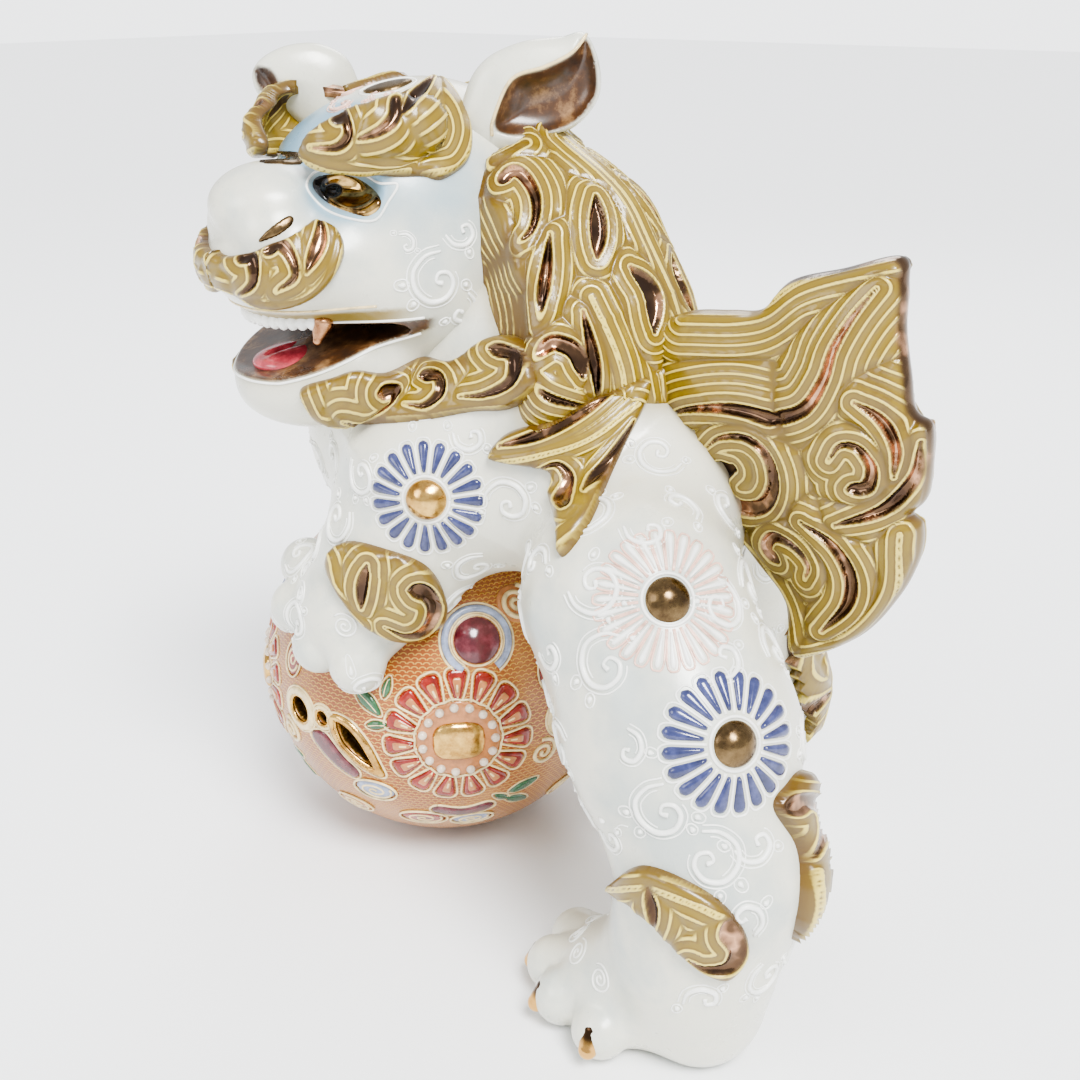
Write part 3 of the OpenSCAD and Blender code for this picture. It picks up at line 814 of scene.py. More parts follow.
def pad(place, outline, field, height, step=0.5, edge=3.0, within=None, sink=0.7):
    """A raised patch over an outline: sheet points, normals, heights, distances in, and quads."""
    look = region(outline)
    uv, quads = sheet_grid(look, step)
    inside = look(uv)
    quads = quads[(inside[quads] < 0.3).all(1)]
    quads, uv, inside = compact(quads, uv, inside)
    rim = np.unique(border_walls(quads, len(uv))[:, :2])
    across, along = vec(RIM_PROBE, 0), vec(0, RIM_PROBE)
    for _ in range(2):
        slope = np.column_stack([look(uv[rim] + across) - look(uv[rim] - across),
                                 look(uv[rim] + along) - look(uv[rim] - along)]) / (2 * RIM_PROBE)
        uv[rim] -= slope * np.clip(look(uv[rim]), -step, step)[:, None]
    inside = look(uv)
    p, n, landed = drape(place, uv, field)
    if within is not None:
        landed &= within(p)
    landed &= n @ place[3] > STEEPEST
    quads = quads[landed[quads].all(1)]
    quads, uv, inside, p, n = compact(quads, uv, inside, p, n)
    t = np.clip(-inside / edge, 0, 1)
    rise = height * np.sqrt(np.maximum(1 - (1 - t) ** 2, 0)) - sink * (1 - soft(t, 0, 0.25))
    return uv, p, n, rise, inside, quads


def close_pad(p, n, rise, quads, thick=1.6):
    """The patch as a closed solid: top sheet, bottom sheet and the walls between."""
    count = len(p)
    verts = np.vstack([p + n * rise[:, None], p - n * thick])
    bottom = quads[:, ::-1] + count
    return verts, np.vstack([quads, bottom, border_walls(quads, count)])


def mirror_head(verts, faces):
    """A mesh moved to the head's other side."""
    q = to_head(verts)
    q[:, 1] = -q[:, 1]
    return from_head(q), [f[:, ::-1] for f in faces]


PAD_RELIEF = 0.7


def hair_pad(name, place, outline, field, height, strokes, step=0.5, within=None, mirrored=None):
    """A relief patch of combed hair; mirrored names its copy on the head's other side."""
    uv, p, n, rise, inside, quads = pad(place, outline, field, height, step, 3.0, within)
    first, second, real = flow(uv, [groove(*s) for s in strokes])
    lift, line, lustre = comb(first, second, real, PAD_RELIEF)
    fade = soft(-inside, 0.2, 1.6)
    stain = 0.9 * near(-inside - 0.2, 1.3) + 0.5 * near(real, 1.4)
    verts, faces = close_pad(p, n, rise + lift * fade, quads)
    masks = hair_masks(*(np.tile(a, 2) for a in (first, line * fade, lustre * fade, stain)))
    mesh_piece(name, verts, faces, HAIR, [name], "khaki_enamel", masks)
    if mirrored:
        other, (faces,) = mirror_head(verts, [faces])
        mesh_piece(mirrored, other, faces, HAIR, [mirrored], "khaki_enamel", masks)


# ---- thin raised lines of slip ----

def tubes(name, lines, material, nodes, slot, sides=7, lift=0.15):
    """Half-sunk round cords: each line is (points, outward normals, radii)."""
    all_verts, quads, tris, base = [], [], [], 0
    turn = np.linspace(0, 2 * math.pi, sides, endpoint=False)
    for p, n, r in lines:
        p, n = np.asarray(p, float), np.asarray(n, float)
        r = np.broadcast_to(np.asarray(r, float), len(p))
        t = np.gradient(p, axis=0)
        t /= np.maximum(length(t), 1e-9)[:, None]
        side = np.cross(t, n)
        side /= np.maximum(length(side), 1e-9)[:, None]
        out = np.cross(side, t)
        ring = (p[:, None] + n[:, None] * (r * lift)[:, None, None]
                + r[:, None, None] * (np.cos(turn)[None, :, None] * side[:, None]
                                      + np.sin(turn)[None, :, None] * out[:, None]))
        count = len(p)
        index = base + np.arange(count * sides).reshape(count, sides)
        a, b = index[:-1], index[1:]
        quads.append(np.stack([a, b, np.roll(b, -1, 1), np.roll(a, -1, 1)], -1).reshape(-1, 4))
        for end, order in ((index[0], 1), (index[-1], -1)):
            tip = base + count * sides + (0 if order == 1 else 1)
            tris.append(np.stack([np.full(sides, tip), end, np.roll(end, -1)], 1)[:, ::order])
        all_verts += [ring.reshape(-1, 3), p[[0, -1]]]
        base += count * sides + 2
    mesh_piece(name, np.vstack(all_verts), [np.vstack(quads), np.vstack(tris)], material, nodes, slot)


LONGEST_STEP = 3.0


def draped_lines(place, shapes, field):
    """Plane lines (points, radii) dropped onto a field as tube lines, without those that fall off it."""
    out = []
    p, n, landed = drape(place, np.vstack([points for points, _ in shapes]), field)
    at = 0
    for points, radii in shapes:
        own = slice(at, at + len(points))
        at += len(points)
        if landed[own].all() and length(np.diff(p[own], axis=0)).max() < LONGEST_STEP:
            out.append((p[own], n[own], radii))
    return out


# ---- body, in its cast pieces ----

def cast_pieces(verts, quads, normals, owner, names, thick, masks):
    """Cuts one glazed skin into separate closed shells that meet under the glaze."""
    for number, name in enumerate(names):
        part = quads[owner == number]
        kept, v, n = compact(part, verts, normals)[:3]
        used = np.unique(part)
        closed = close_pad(v, n, np.zeros(len(v)), kept, thick)
        both = {k: np.concatenate([a[used], a[used]]) for k, a in masks.items()}
        piece = mesh_piece(name, closed[0], closed[1], GLAZE, [name], "white_glaze", both)
        piece.data.normals_split_custom_set_from_vertices(np.vstack([n, -n]).tolist())


def near_hair(p):
    """How close the white skin is to the khaki hair that lies on it."""
    return near(np.minimum(mane(p), tail(p)) - 0.5, 2.2)


def body_pieces():
    verts, quads, normals = skin_of(body, (-104, -132, -4), (106, 128, 262), 2.8, 1)
    fields = [trunk] + [f for f, _ in LIMBS.values()]
    centres = verts[quads].mean(1)
    owner = np.argmin([f(centres) for f in fields], 0)
    # Khaki tint over the lowest dozen millimetres of the skin, strongest at the floor.
    tan_near_floor = soft(-(verts[:, 2] - 7), -5, 3) * 0.10
    # Painted shade: brown darkening on the skin where it comes close to the ball.
    painted_shade_by_ball = near(sphere(verts), 2.0) * 0.55
    masks = {"wash": np.zeros(len(verts)), "tan": 0.5 * near_hair(verts) + tan_near_floor,
             "dark": 0.35 * painted_shade_by_ball}
    cast_pieces(verts, quads, normals, owner, ["body_shell"] + list(LIMBS), 4.0, masks)
    return verts, normals


# ---- tail ----

TAIL_EDGE = [(24, 206), (34, 212), (47, 214), (58, 216), (66, 225), (81, 230), (97, 235), (100, 227),
             (101, 216), (104, 203), (106, 194), (111, 191), (112, 181), (111, 169), (107, 163),
             (110, 160), (110, 150), (105, 136), (94, 120), (75, 109), (70, 126), (59, 137),
             (36, 159), (28, 173), (22, 189)]
TAIL_X = 3.0
TAIL_SHAPE = region(TAIL_EDGE, 0.8, 24.0)
TAIL_GROOVES = [
    ("comma", 2.2, [(30, 180), (38, 184), (49, 187), (59, 188), (70, 187)]),
    ("comma", 2.0, [(94, 227), (89, 219), (85, 210), (83, 201), (78, 192), (68, 187)]),
    ("comma", 3.2, [(45, 173), (51, 178), (60, 180), (67, 176), (69, 167), (65, 159), (57, 156),
                    (51, 159), (50, 166), (55, 169)]),
    ("comma", 2.0, [(86, 178), (89, 183), (94, 183), (98, 178), (97, 172), (92, 170)]),
    ("lens", 1.4, [(92, 196), (99, 192), (104, 185), (104, 176)]),
    ("lens", 1.7, [(110, 187), (109, 176), (101, 165), (88, 158)]),
    ("comma", 2.2, [(79, 138), (80, 143), (75, 148), (68, 149), (65, 144), (69, 141)]),
    ("lens", 1.8, [(78, 157), (88, 151), (93, 142), (92, 132), (85, 122)]),
    ("guide", 0, [(34, 212), (58, 216), (72, 226), (97, 235)]),
    ("guide", 0, [(106, 158), (105, 138), (94, 120), (76, 110)]),
    ("guide", 0, [(36, 159), (59, 137), (70, 126), (75, 112)]),
]


def tail(p):
    inside = TAIL_SHAPE(p[:, 1:])
    half = 4.0 + 9.5 * (1 - np.exp(np.minimum(inside, 0) / 20))
    bend = TAIL_X + 3 * np.sin((p[:, 2] - 170) / 22)
    return keep(np.abs(p[:, 0] - bend) - half, inside, 4.0)


def tail_piece():
    verts, quads, normals = skin_of(tail, (-18, 18, 102), (24, 116, 240), 1.25, 1)
    first, second, real = flow(verts[:, 1:], [groove(*g) for g in TAIL_GROOVES])
    rise, line, lustre = comb(first, second, real)
    flat = soft(np.abs(normals[:, 0]), 0.35, 0.75)
    rim = 1 - flat
    tip = soft(verts[:, 2] + 0.8 * verts[:, 1], 262, 285)
    stain = groove_stain(first, second, real) + 0.6 * rim
    verts = verts + normals * (rise * flat)[:, None]
    masks = hair_masks(first, line * flat, np.maximum(lustre * flat, rim * tip * 0.9), stain)
    mesh_piece("tail", verts, quads, HAIR, ["tail"], "khaki_enamel", masks)


# ---- mane ----

# The mane's front edge: how far forward it comes at each height, in the head's own axes
MANE_EDGE_Z = [-60, -46, -28, -20, -9, 2, 18, 28, 32, 40, 50]
MANE_EDGE_F = [20, 16, 13, 11, 9, 10, 8, 2, -8, -16, -24]
NAPE_HAIR = 3.4


def mane_bulk(p):
    """The mane's mass from the crown down the neck, with a fall of hair behind each cheek."""
    d = limb(p, [(5, -42, 240, 30), (3, -18, 218, 33), (3, -4, 197, 32), (3, 6, 182, 27)], 10)
    for cheek in ([(31, -32, 238, 13), (34, -24, 222, 16), (32, -16, 206, 19), (31, -4, 190, 19)],
                  [(-20, -60, 238, 13), (-24, -52, 222, 16), (-24, -38, 206, 19), (-22, -14, 190, 18)]):
        d = blend(d, limb(p, cheek, 8), 9)
    return d


def mane(p):
    q = to_head(p)
    d = blend(mane_bulk(p), head(p) - NAPE_HAIR, 6)
    edge = np.interp(q[:, 2], MANE_EDGE_Z, MANE_EDGE_F)
    return keep(d, q[:, 0] - edge, 5.0)


def mane_solid(p):
    return keep(mane(p), -(np.minimum(body(p), head(p)) + 1.2), 0.8)


MANE_GROOVES = [
    ("comma", 2.2, [(36, -12, 228), (33, -5, 236), (26, -9, 244), (23, -18, 249), (27, -23, 244)]),
    ("lens", 2.6, [(12, 1, 240), (17, 6, 234), (20, 8, 226)]),
    ("lens", 1.7, [(26, -3, 232), (34, -1, 218), (38, -3, 206)]),
    ("comma", 2.7, [(28, 12, 186), (36, 13, 187), (43, 6, 191), (42, 0, 197), (36, 2, 202),
                    (32, 8, 200), (33, 12, 195)]),
    ("lens", 3.2, [(13, 14, 222), (10, 19, 215), (13, 23, 205)]),
    ("lens", 1.6, [(28, 10, 212), (30, 15, 200), (32, 20, 187)]),
    ("guide", 0, [(16, -22, 257), (26, -27, 251), (32, -27, 243), (36, -17, 228), (38, -8, 214),
                  (41, -4, 204)]),
    ("guide", 0, [(22, 8, 214), (22, 18, 198), (26, 26, 186)]),
    ("guide", 0, [(3, -20, 251), (3, 4, 240), (3, 14, 225), (3, 24, 206), (3, 32, 188)]),
]


# The same cuts for the back and far side of the head, in the head's own axes
NAPE_GROOVES = [
    ("comma", 2.6, [(-6, -48, -6), (-14, -46, 2), (-24, -40, 2), (-28, -36, -8), (-22, -40, -14)]),
    ("comma", 2.6, [(-30, -22, 38), (-38, -20, 28), (-40, -26, 16), (-36, -32, 16)]),
    ("lens", 2.8, [(-12, -44, 22), (-22, -40, 24), (-32, -32, 18)]),
    ("lens", 2.8, [(-40, -8, 26), (-46, -10, 10), (-44, -16, -6)]),
    ("lens", 2.4, [(4, -46, -20), (-8, -46, -26), (-20, -40, -30)]),
]


def mane_grooves():
    """The mane's grooves on its skin; those that start off the middle are repeated on the right."""
    cuts = []
    for shape, width, path in MANE_GROOVES:
        cuts.append((mane_bulk, shape, width, path))
        if path[0][0] > 4:
            cuts.append((mane_bulk, shape, width, [(6 - x, y, z) for x, y, z in path]))
    cuts += [(mane, shape, width, from_head(path)) for shape, width, path in NAPE_GROOVES]
    made = []
    for field, shape, width, path in cuts:
        line, half, real = groove(shape, width, path)
        made.append((settle(field, line, 5, 4.0)[0], half, real))
    return made


def mane_piece():
    verts, quads, normals = skin_of(mane_solid, (-50, -128, 148), (58, 46, 290), 1.35, 1)
    first, second, real = flow(verts, mane_grooves())
    rise, line, lustre = comb(first, second, real)
    top = soft(np.minimum(body(verts), head(verts)), 0.0, 1.2)
    q = to_head(verts)
    rim = near(np.interp(q[:, 2], MANE_EDGE_Z, MANE_EDGE_F) - q[:, 0], 1.6)
    stain = groove_stain(first, second, real) + 0.5 * rim
    verts = verts + normals * (rise * top)[:, None]
    masks = hair_masks(first, line * top, lustre * top, stain)
    mesh_piece("mane", verts, quads, HAIR, ["mane"], "khaki_enamel", masks)


def hairy_skin(p):
    return np.minimum(np.minimum(body(p), mane(p)), head(p))


LOCK_SEAT = seat((48, 12, 176), 127, 18)
RIGHT_LOCK_SEAT = seat((-36, -2, 176), -127, 18)
LOCK_EDGE = [(-18, -3), (-14, 3), (-8, 6), (1, 8), (15, 15), (30, 21), (29, 12), (25, 4), (20, -6),
             (16, -14), (11, -23), (4, -31), (3, -23), (1, -14), (1, -8), (-5, -6), (-12, -5)]
LOCK_STROKES = [
    ("lens", 1.7, [(-13, 1), (-2, 4), (10, 10), (19, 16)]),
    ("comma", 2.0, [(-2, -6), (4, -5), (8, -11), (6, -19)]),
    ("lens", 1.5, [(25, 7), (19, -5), (12, -15)]),
    ("guide", 0, [(-14, -4), (-2, -2), (12, 2), (26, 12)]),
    ("guide", 0, [(20, -6), (16, -14), (11, -23), (4, -30)]),
]


def lock_pieces():
    hair_pad("left_mane_locks", LOCK_SEAT, LOCK_EDGE, hairy_skin, 3.6, LOCK_STROKES)
    hair_pad("right_mane_locks", RIGHT_LOCK_SEAT, flipped(LOCK_EDGE), hairy_skin, 3.6,
             flipped_strokes(LOCK_STROKES))


# ---- head and jaw ----

def head_pieces():
    verts, quads, normals = skin_of(head, HEAD - 78, HEAD + 92, 1.9, 1)
    q = to_head(verts)
    line, gape = lip_height(q)
    over, under = line - gape, -line - gape
    front = soft(q[:, 0], 23, 27)
    inside = (1 - soft(np.maximum(over, under), 0.35, 1.3)) * front
    band = soft(q[:, 0], 26, 40) * (over > 0) * (1 - soft(over, 4.2, 5.6)) * soft(over, 0.2, 0.8)
    chin = front * (under > 0) * near(under, 2.4) * 0.6
    a = folded(q)
    bridge = near(egg(a, (38, 6, 36), (14, 16, 12)), 3.0)
    socket = near(egg(a, (42, 24, 21), (12, 11, 9)), 3.5)
    outer = near(egg(a, (18, 40, 24), (10, 9, 8)), 6.0)
    corner = np.exp(-length(a - vec(28, 38, -15)) / 6.0)
    masks = {"wash": np.clip(np.maximum(bridge, 0.9 * socket) + 0.45 * outer, 0, 1),
             "tan": np.clip(0.95 * band + chin + 0.25 * corner, 0, 1), "dark": inside}
    centres = verts[quads].mean(1)
    jaw = lip_height(to_head(centres))[0] < 0
    cast_pieces(verts, quads, normals, jaw.astype(int), ["head_shell", "lower_jaw"], 1.0, masks)


BROW_SEAT = seat((42, -53, 261), 133, 6)
BROW_EDGE = [(-25, -5), (-20, 1), (-10, 6), (0, 9), (8, 12), (15, 16), (20, 14), (24, 7), (26, -1),
             (24, -9), (16, -14), (10, -13), (3, -13), (-8, -12), (-17, -11), (-23, -9)]
BROW_STROKES = [
    ("comma", 1.7, [(-20, -4), (-14, -4), (-10, -1), (-11, 3), (-14, 2)]),
    ("comma", 1.7, [(-8, -2), (-2, 0), (2, 3), (3, 7)]),
    ("lens", 1.5, [(4, 4), (9, 8), (15, 14)]),
    ("guide", 0, [(10, -13), (20, -11), (25, -3), (24, 6), (18, 15)]),
    ("guide", 0, [(-24, -7), (-14, -10), (-4, -11), (6, -12)]),
]
MOUSTACHE_SEAT = seat((81, -70, 227), 138, 11)
MOUSTACHE_EDGE = [(-2, 2), (3, 4), (10, 6), (14, 8), (18, 10), (24, 7), (25, 0), (20, -8), (12, -13),
                  (1, -14), (-9, -9), (-18, -7), (-24, -4), (-25, 6), (-20, 12), (-14, 10), (-10, 2)]
MOUSTACHE_STROKES = [
    ("comma", 1.8, [(6, -8), (11, -5), (10, 0), (7, 3), (4, 1)]),
    ("comma", 1.8, [(-5, -9), (0, -6), (0, 0), (-3, 0)]),
    ("lens", 1.7, [(19, 9), (18, 3), (14, -4)]),
    ("comma", 1.5, [(-13, -7), (-17, -2), (-15, 3)]),
    ("guide", 0, [(25, 2), (20, -8), (12, -13), (1, -13), (-9, -8), (-18, -6)]),
]
BEARD_SEAT = seat((59, -44, 191), 134, 15)
BEARD_EDGE = [(-24, -3), (-14, 0), (-7, 2), (2, 1), (13, 5), (23, 4), (31, 9), (38, 11), (43, 8),
              (46, -4), (38, -11), (27, -12), (15, -14), (3, -15), (-10, -15), (-19, -13), (-23, -9)]
BEARD_STROKES = [
    ("comma", 2.0, [(-12, -11), (-4, -13), (4, -10), (4, -4), (-1, -4)]),
    ("comma", 1.9, [(9, -11), (15, -11), (20, -7), (20, -2), (15, -2)]),
    ("comma", 2.1, [(26, -8), (34, -7), (41, -3), (42, 4), (36, 6)]),
    ("guide", 0, [(-24, -4), (-20, -12), (-10, -14)]),
    ("guide", 0, [(3, -15), (15, -14), (27, -12), (38, -11)]),
]


def brow_skin(p):
    """The head with a ridge over each eye for the brow to lie on."""
    q = to_head(p)
    a = folded(q)
    ridge = limb(a, [(46, 7, 28, 5), (40, 18, 33, 8), (31, 27, 37, 8), (22, 34, 39, 6)], 6)
    return blend(head(p), ridge, 5)


def mirror_seat(place):
    """The same seat on the head's other side."""
    spot = to_head(place[0][None, :])[0] * vec(1, -1, 1)
    out = (HEAD_AXES @ place[3]) * vec(1, -1, 1) @ HEAD_AXES
    u = np.cross(UP, out)
    u = u / np.linalg.norm(u)
    return from_head(spot), u, np.cross(out, u), out


def flipped(points):
    return [(-u, v) for u, v in points]


def flipped_strokes(strokes):
    return [(shape, width, flipped(points)) for shape, width, points in strokes]


def left_of_face(p):
    return to_head(p)[:, 1] > -0.4


def right_of_face(p):
    return ~left_of_face(p)


def beard_skin(p):
    """The jaw and the mane's edge, run smoothly into the chest."""
    return blend(np.minimum(head(p), mane(p)), body(p), 6)


def face_hair():
    hair_pad("left_brow", BROW_SEAT, BROW_EDGE, brow_skin, 2.6, BROW_STROKES, 0.5, left_of_face,
             "right_brow")
    hair_pad("left_moustache", MOUSTACHE_SEAT, MOUSTACHE_EDGE, head, 3.4, MOUSTACHE_STROKES, 0.5,
             left_of_face, "right_moustache")
    hair_pad("left_beard", BEARD_SEAT, BEARD_EDGE, beard_skin, 3.6, BEARD_STROKES, 0.55, left_of_face)
    hair_pad("right_beard", mirror_seat(BEARD_SEAT), flipped(BEARD_EDGE), beard_skin, 3.6,
             flipped_strokes(BEARD_STROKES), 0.55, right_of_face)


def both_sides(name, verts, faces, material, slot, nodes, masks=None):
    """The same piece on the left and the right of the face."""
    mesh_piece("left_" + name, verts, faces, material, ["left_" + n for n in nodes], slot, masks)
    other, faces = mirror_head(verts, [faces])
    mesh_piece("right_" + name, other, faces, material, ["right_" + n for n in nodes], slot, masks)


def enamel_pad(place, outline, height):
    """A small raised patch of enamel on the head, as a closed solid."""
    _, p, n, rise, _, quads = pad(place, outline, head, height, 0.45, 1.5, None, 0.4)
    return close_pad(p, n, rise, quads, 1.0)


EYE_SEAT = seat((59, -54, 245), 135, 8)
EYE_EDGE = [(-10, 3), (-8, 5), (-2, 5.5), (4, 4), (9, 0), (10, -4), (6, -7), (1, -6), (-5, -3.5), (-9, 0)]
EYE_SLIP = [(-11.5, 3), (-8.5, 6.3), (-2, 6.8), (5, 5.4), (10, 2.5), (15, 2), (12, -3), (8, -8),
            (1, -7.6), (-6, -5), (-10.5, -0.5)]


def eye_enamel():
    """Gold lustre with a black pupil at the inner end."""
    material, tree, surface = shader("eye_lustre", GOLD, 0.12,
                                     Metallic=1.0, Coat_Weight=0.4, Coat_Roughness=0.05)
    worn = ramp(tree, noise(tree, 190.0, 4.0, 0.65), [(0.35, (0.70, 0.46, 0.17)), (0.62, (0.13, 0.07, 0.02))])
    black = mask(tree, "dark")
    tree.links.new(mix(tree, black, worn, (0.008, 0.008, 0.010)), surface.inputs["Base Color"])
    tree.links.new(remap(tree, black, 0, 1, 1, 0), surface.inputs["Metallic"])
    return material


def eyes():
    uv, p, n, rise, _, quads = pad(EYE_SEAT, EYE_EDGE, head, 1.3, 0.35, 2.5, None, 0.4)
    pupil = length(uv - vec(-4, 0.6))
    rise = rise + 0.9 * (1 - soft(pupil, 0.5, 2.8))
    verts, faces = close_pad(p, n, rise, quads, 1.2)
    black = 1 - soft(np.minimum(pupil - 3.0, uv[:, 0] + 5.5), -0.3, 0.6)
    both_sides("eye", verts, faces, eye_enamel(), "gold_lustre", ["eye"], {"dark": np.tile(black, 2)})


NOSTRIL = [(0, 4.5), (3, 8), (9, 12), (11.5, 11.5), (10.5, 9), (6, 6)]
BAR = [(-10, -1.5), (-3, -2), (3, -2.5), (3.5, -6), (-3, -6), (-10, -5)]
CROWN_OVAL = [(-9, -1), (-5, 1.5), (3, 3.2), (7, 2), (2, -1.8), (-6, -2.8)]
BAR_SEAT = seat((56, -80, 257), 137, 6)
CROWN_SEAT = seat((27, -64, 273), 133, 20)


def loop(outline, grow):
    """A closed line around an outline, grown outwards."""
    line = curve(outline, 0.6, True)
    t = np.roll(line, -1, 0) - np.roll(line, 1, 0)
    out = np.column_stack([t[:, 1], -t[:, 0]]) / np.maximum(length(t), 1e-9)[:, None]
    spin = np.sign(np.cross(line, np.roll(line, -1, 0)).sum())
    return line + out * grow * spin


def face_marks():
    """Nostrils, the lustre marks of the brow, and the slip lines round them and the eyes."""
    verts, faces = enamel_pad(MOUSTACHE_SEAT, NOSTRIL, 0.5)
    both_sides("nostril", verts, faces, BRONZE_LUSTRE, "bronze_lustre", [])
    for name, place, outline in (("bridge_bar", BAR_SEAT, BAR), ("crown_oval", CROWN_SEAT, CROWN_OVAL)):
        verts, faces = enamel_pad(place, outline, 0.8)
        mesh_piece(name, verts, faces, BRONZE_LUSTRE, [], "bronze_lustre")
    left = draped_lines(EYE_SEAT, [(curve(EYE_SLIP, 0.6, True), 0.42)], head)
    right = []
    for p, n, r in left:
        q = to_head(p)
        q[:, 1] *= -1
        m = n @ HEAD_AXES.T
        m[:, 1] *= -1
        right.append((from_head(q)[::-1], (m @ HEAD_AXES)[::-1], r))
    middle = draped_lines(BAR_SEAT, [(loop(BAR, 0.7), 0.35)], head)
    middle += draped_lines(CROWN_SEAT, [(loop(CROWN_OVAL, 0.9), 0.4)], head)
    tubes("face_slip_lines", left + right + middle, SLIP, [], "white_glaze")


# ---- ears ----

EAR_SEAT = seat((4, -22, 272), 127, 4)
EAR_EDGE = [(-26, -14), (-24, 0), (-18, 9), (-7, 14), (5, 15.5), (12, 16.5), (16.5, 8), (16.5, -2),
            (9.5, -10.5), (-1, -14), (-10, -20)]
EAR_HOLLOW = [(12, 15.5), (15.5, 8), (15.5, -2), (9, -9.5), (-1, -12.8), (-12, -13), (-15.5, -9),
              (-10, 3), (0, 6.5), (8, 10.5)]
EAR_RIM = [(-16, -13), (-15.5, -8), (-10, 3.2), (0, 6.8), (8, 10.8), (12.5, 16)]
FAR_EAR_SEAT = seat((24, -110, 275), 136, 4)
FAR_EAR_EDGE = [(22, -16), (19, 2), (10, 8.5), (-1, 8.5), (-10, 4.5), (-13.5, -1), (-11, -8),
                (-2, -14), (8, -22)]
FAR_EAR_HOLLOW = [(-12.5, 2), (-7, 1), (-4.5, -4), (-5, -9), (-9, -8), (-12.5, -3)]
FAR_EAR_RIM = [(-12.5, 3), (-7, 1.6), (-4, -3), (-4, -9)]


def leaf(place, edge, hollow, cup):
    """A thick leaf-shaped ear that faces its seat, cupped inside the hollow's outline."""
    shape, scoop = region(edge, 0.7, 20), region(hollow, 0.7, 20)
    axes = np.array(place[1:])

    def field(p):
        q = (p - place[0]) @ axes.T
        inside = shape(q[:, :2])
        half = 3.6 + 5.5 * (1 - np.exp(np.minimum(inside, 0) / 7))
        d = keep(np.abs(q[:, 2]) - half, inside, 3.0)
        floor = cup * (1 - np.exp(np.minimum(scoop(q[:, :2]), 0) / 3.5))
        return carve(d, np.maximum(scoop(q[:, :2]), half - floor - q[:, 2]), 0.8)

    return field, scoop, axes


def ear(name, place, edge, hollow, rim, cup):
    """One ear with a brown hollow; gives the raised line along its rim."""
    field, scoop, axes = leaf(place, edge, hollow, cup)
    verts, quads, normals = skin_of(field, place[0] - 34, place[0] + 34, 1.5, 1)
    q = (verts - place[0]) @ axes.T
    brown = (1 - soft(scoop(q[:, :2]), -0.9, 0.2)) * (normals @ place[3] > -0.2) * (q[:, 2] > -7)
    masks = {"wash": np.full(len(verts), 0.05), "tan": 0.25 * brown, "dark": brown}
    mesh_piece(name, verts, quads, GLAZE, [name], "white_glaze", masks)
    return draped_lines(place, [(curve(rim, 0.6), 0.55)], field)


def ears():
    rims = ear("left_ear", EAR_SEAT, EAR_EDGE, EAR_HOLLOW, EAR_RIM, 9.0)
    rims += ear("right_ear", FAR_EAR_SEAT, FAR_EAR_EDGE, FAR_EAR_HOLLOW, FAR_EAR_RIM, 6.0)
    tubes("ear_rim_lines", rims, CREAM_ENAMEL, [], "khaki_enamel")


# ---- mouth ----

def tongue_field(p):
    q = to_head(p)
    d = egg(q, (46, 0, -34), (18, 14, 5))
    return carve(d, rod(q, (38, 0, -28.5, 1.2), (62, 0, -30, 1.2)), 1.5)


TOOTH_ANGLES = range(-56, 57, 8)
TOOTH = (1.9, 1.9, 2.6)
TOOTH_LIFT = 1.7


def upper_lip(f, s):
    """The upper lip's height at a place in the head's own axes."""
    line, gape = lip_height(np.array([[f, s, 0.0]]))
    return gape[0] - line[0]


def teeth_field(p):
    q = to_head(p)
    d = np.full(len(p), 99.0)
    for angle in TOOTH_ANGLES:
        a = math.radians(angle)
        f, s = 42 + 21 * math.cos(a), 23 * math.sin(a)
        d = np.minimum(d, egg(q, (f, s, upper_lip(f, s) + TOOTH_LIFT), TOOTH, angle))
    return d


def fang_field(p):
    top = upper_lip(52.0, 20.0)
    return rod(folded(to_head(p)), (51, 20.5, top + 1, 3.4), (53.5, 21.0, top - 4.0, 1.3))


def lip_line(lower, away):
    """A line around the mouth on the head's skin, a little away from the upper or lower lip."""
    a = np.radians(np.linspace(-82, 82, 150))
    r = np.full(len(a), 46.0)
    for _ in range(14):
        f, s = 22 + r * np.cos(a), r * np.sin(a)
        line, gape = lip_height(np.column_stack([f, s, np.zeros(len(a))]))
        z = (-line - gape - away) if lower else (gape + away - line)
        p = from_head(np.column_stack([f, s, z]))
        r = r - np.clip(head(p), -4, 4) * 0.8
    g = gradient(head, p)
    return p, g / length(g)[:, None]


def lips():
    """Slip lines along both lips, and a shorter cream line over the upper one."""
    lines = [(*lip_line(lower, away), 0.42) for lower, away in ((False, 1.2), (True, 1.4))]
    tubes("lip_slip_lines", lines, SLIP, [], "white_glaze")
    p, n = lip_line(False, 6.2)
    middle = slice(18, -18)
    tubes("lip_cream_line", [(p[middle], n[middle], 0.45)], CREAM_ENAMEL, [], "khaki_enamel")


def mouth_pieces():
    lips()
    centre = from_head(vec(48, 0, -24))
    for name, field, material, slot, step in (
            ("tongue", tongue_field, TONGUE, "tongue_enamel", 1.6),
            ("upper_teeth", teeth_field, SLIP, "white_glaze", 0.9),
            ("fangs", fang_field, COPPER_LUSTRE, "bronze_lustre", 1.0)):
        verts, quads, _ = skin_of(field, centre - 32, centre + 32, step, 1)
        mesh_piece(name, verts, quads, material, [name], slot)


# ---- flowers ----

PETAL_SINK = 0.12


def petal_half(t, width, least):
    """Half a petal's width along its length: narrow at the root, round at the tip."""
    tip = np.clip(1 - (np.maximum(t - 0.74, 0) / 0.26) ** 2, least, 1)
    return width / 2 * (0.22 + 0.78 * t ** 0.9) * np.sqrt(tip)


def spun(x, y, angle):
    c, w = math.cos(angle), math.sin(angle)
    return np.column_stack([c * x - w * y, w * x + c * y])


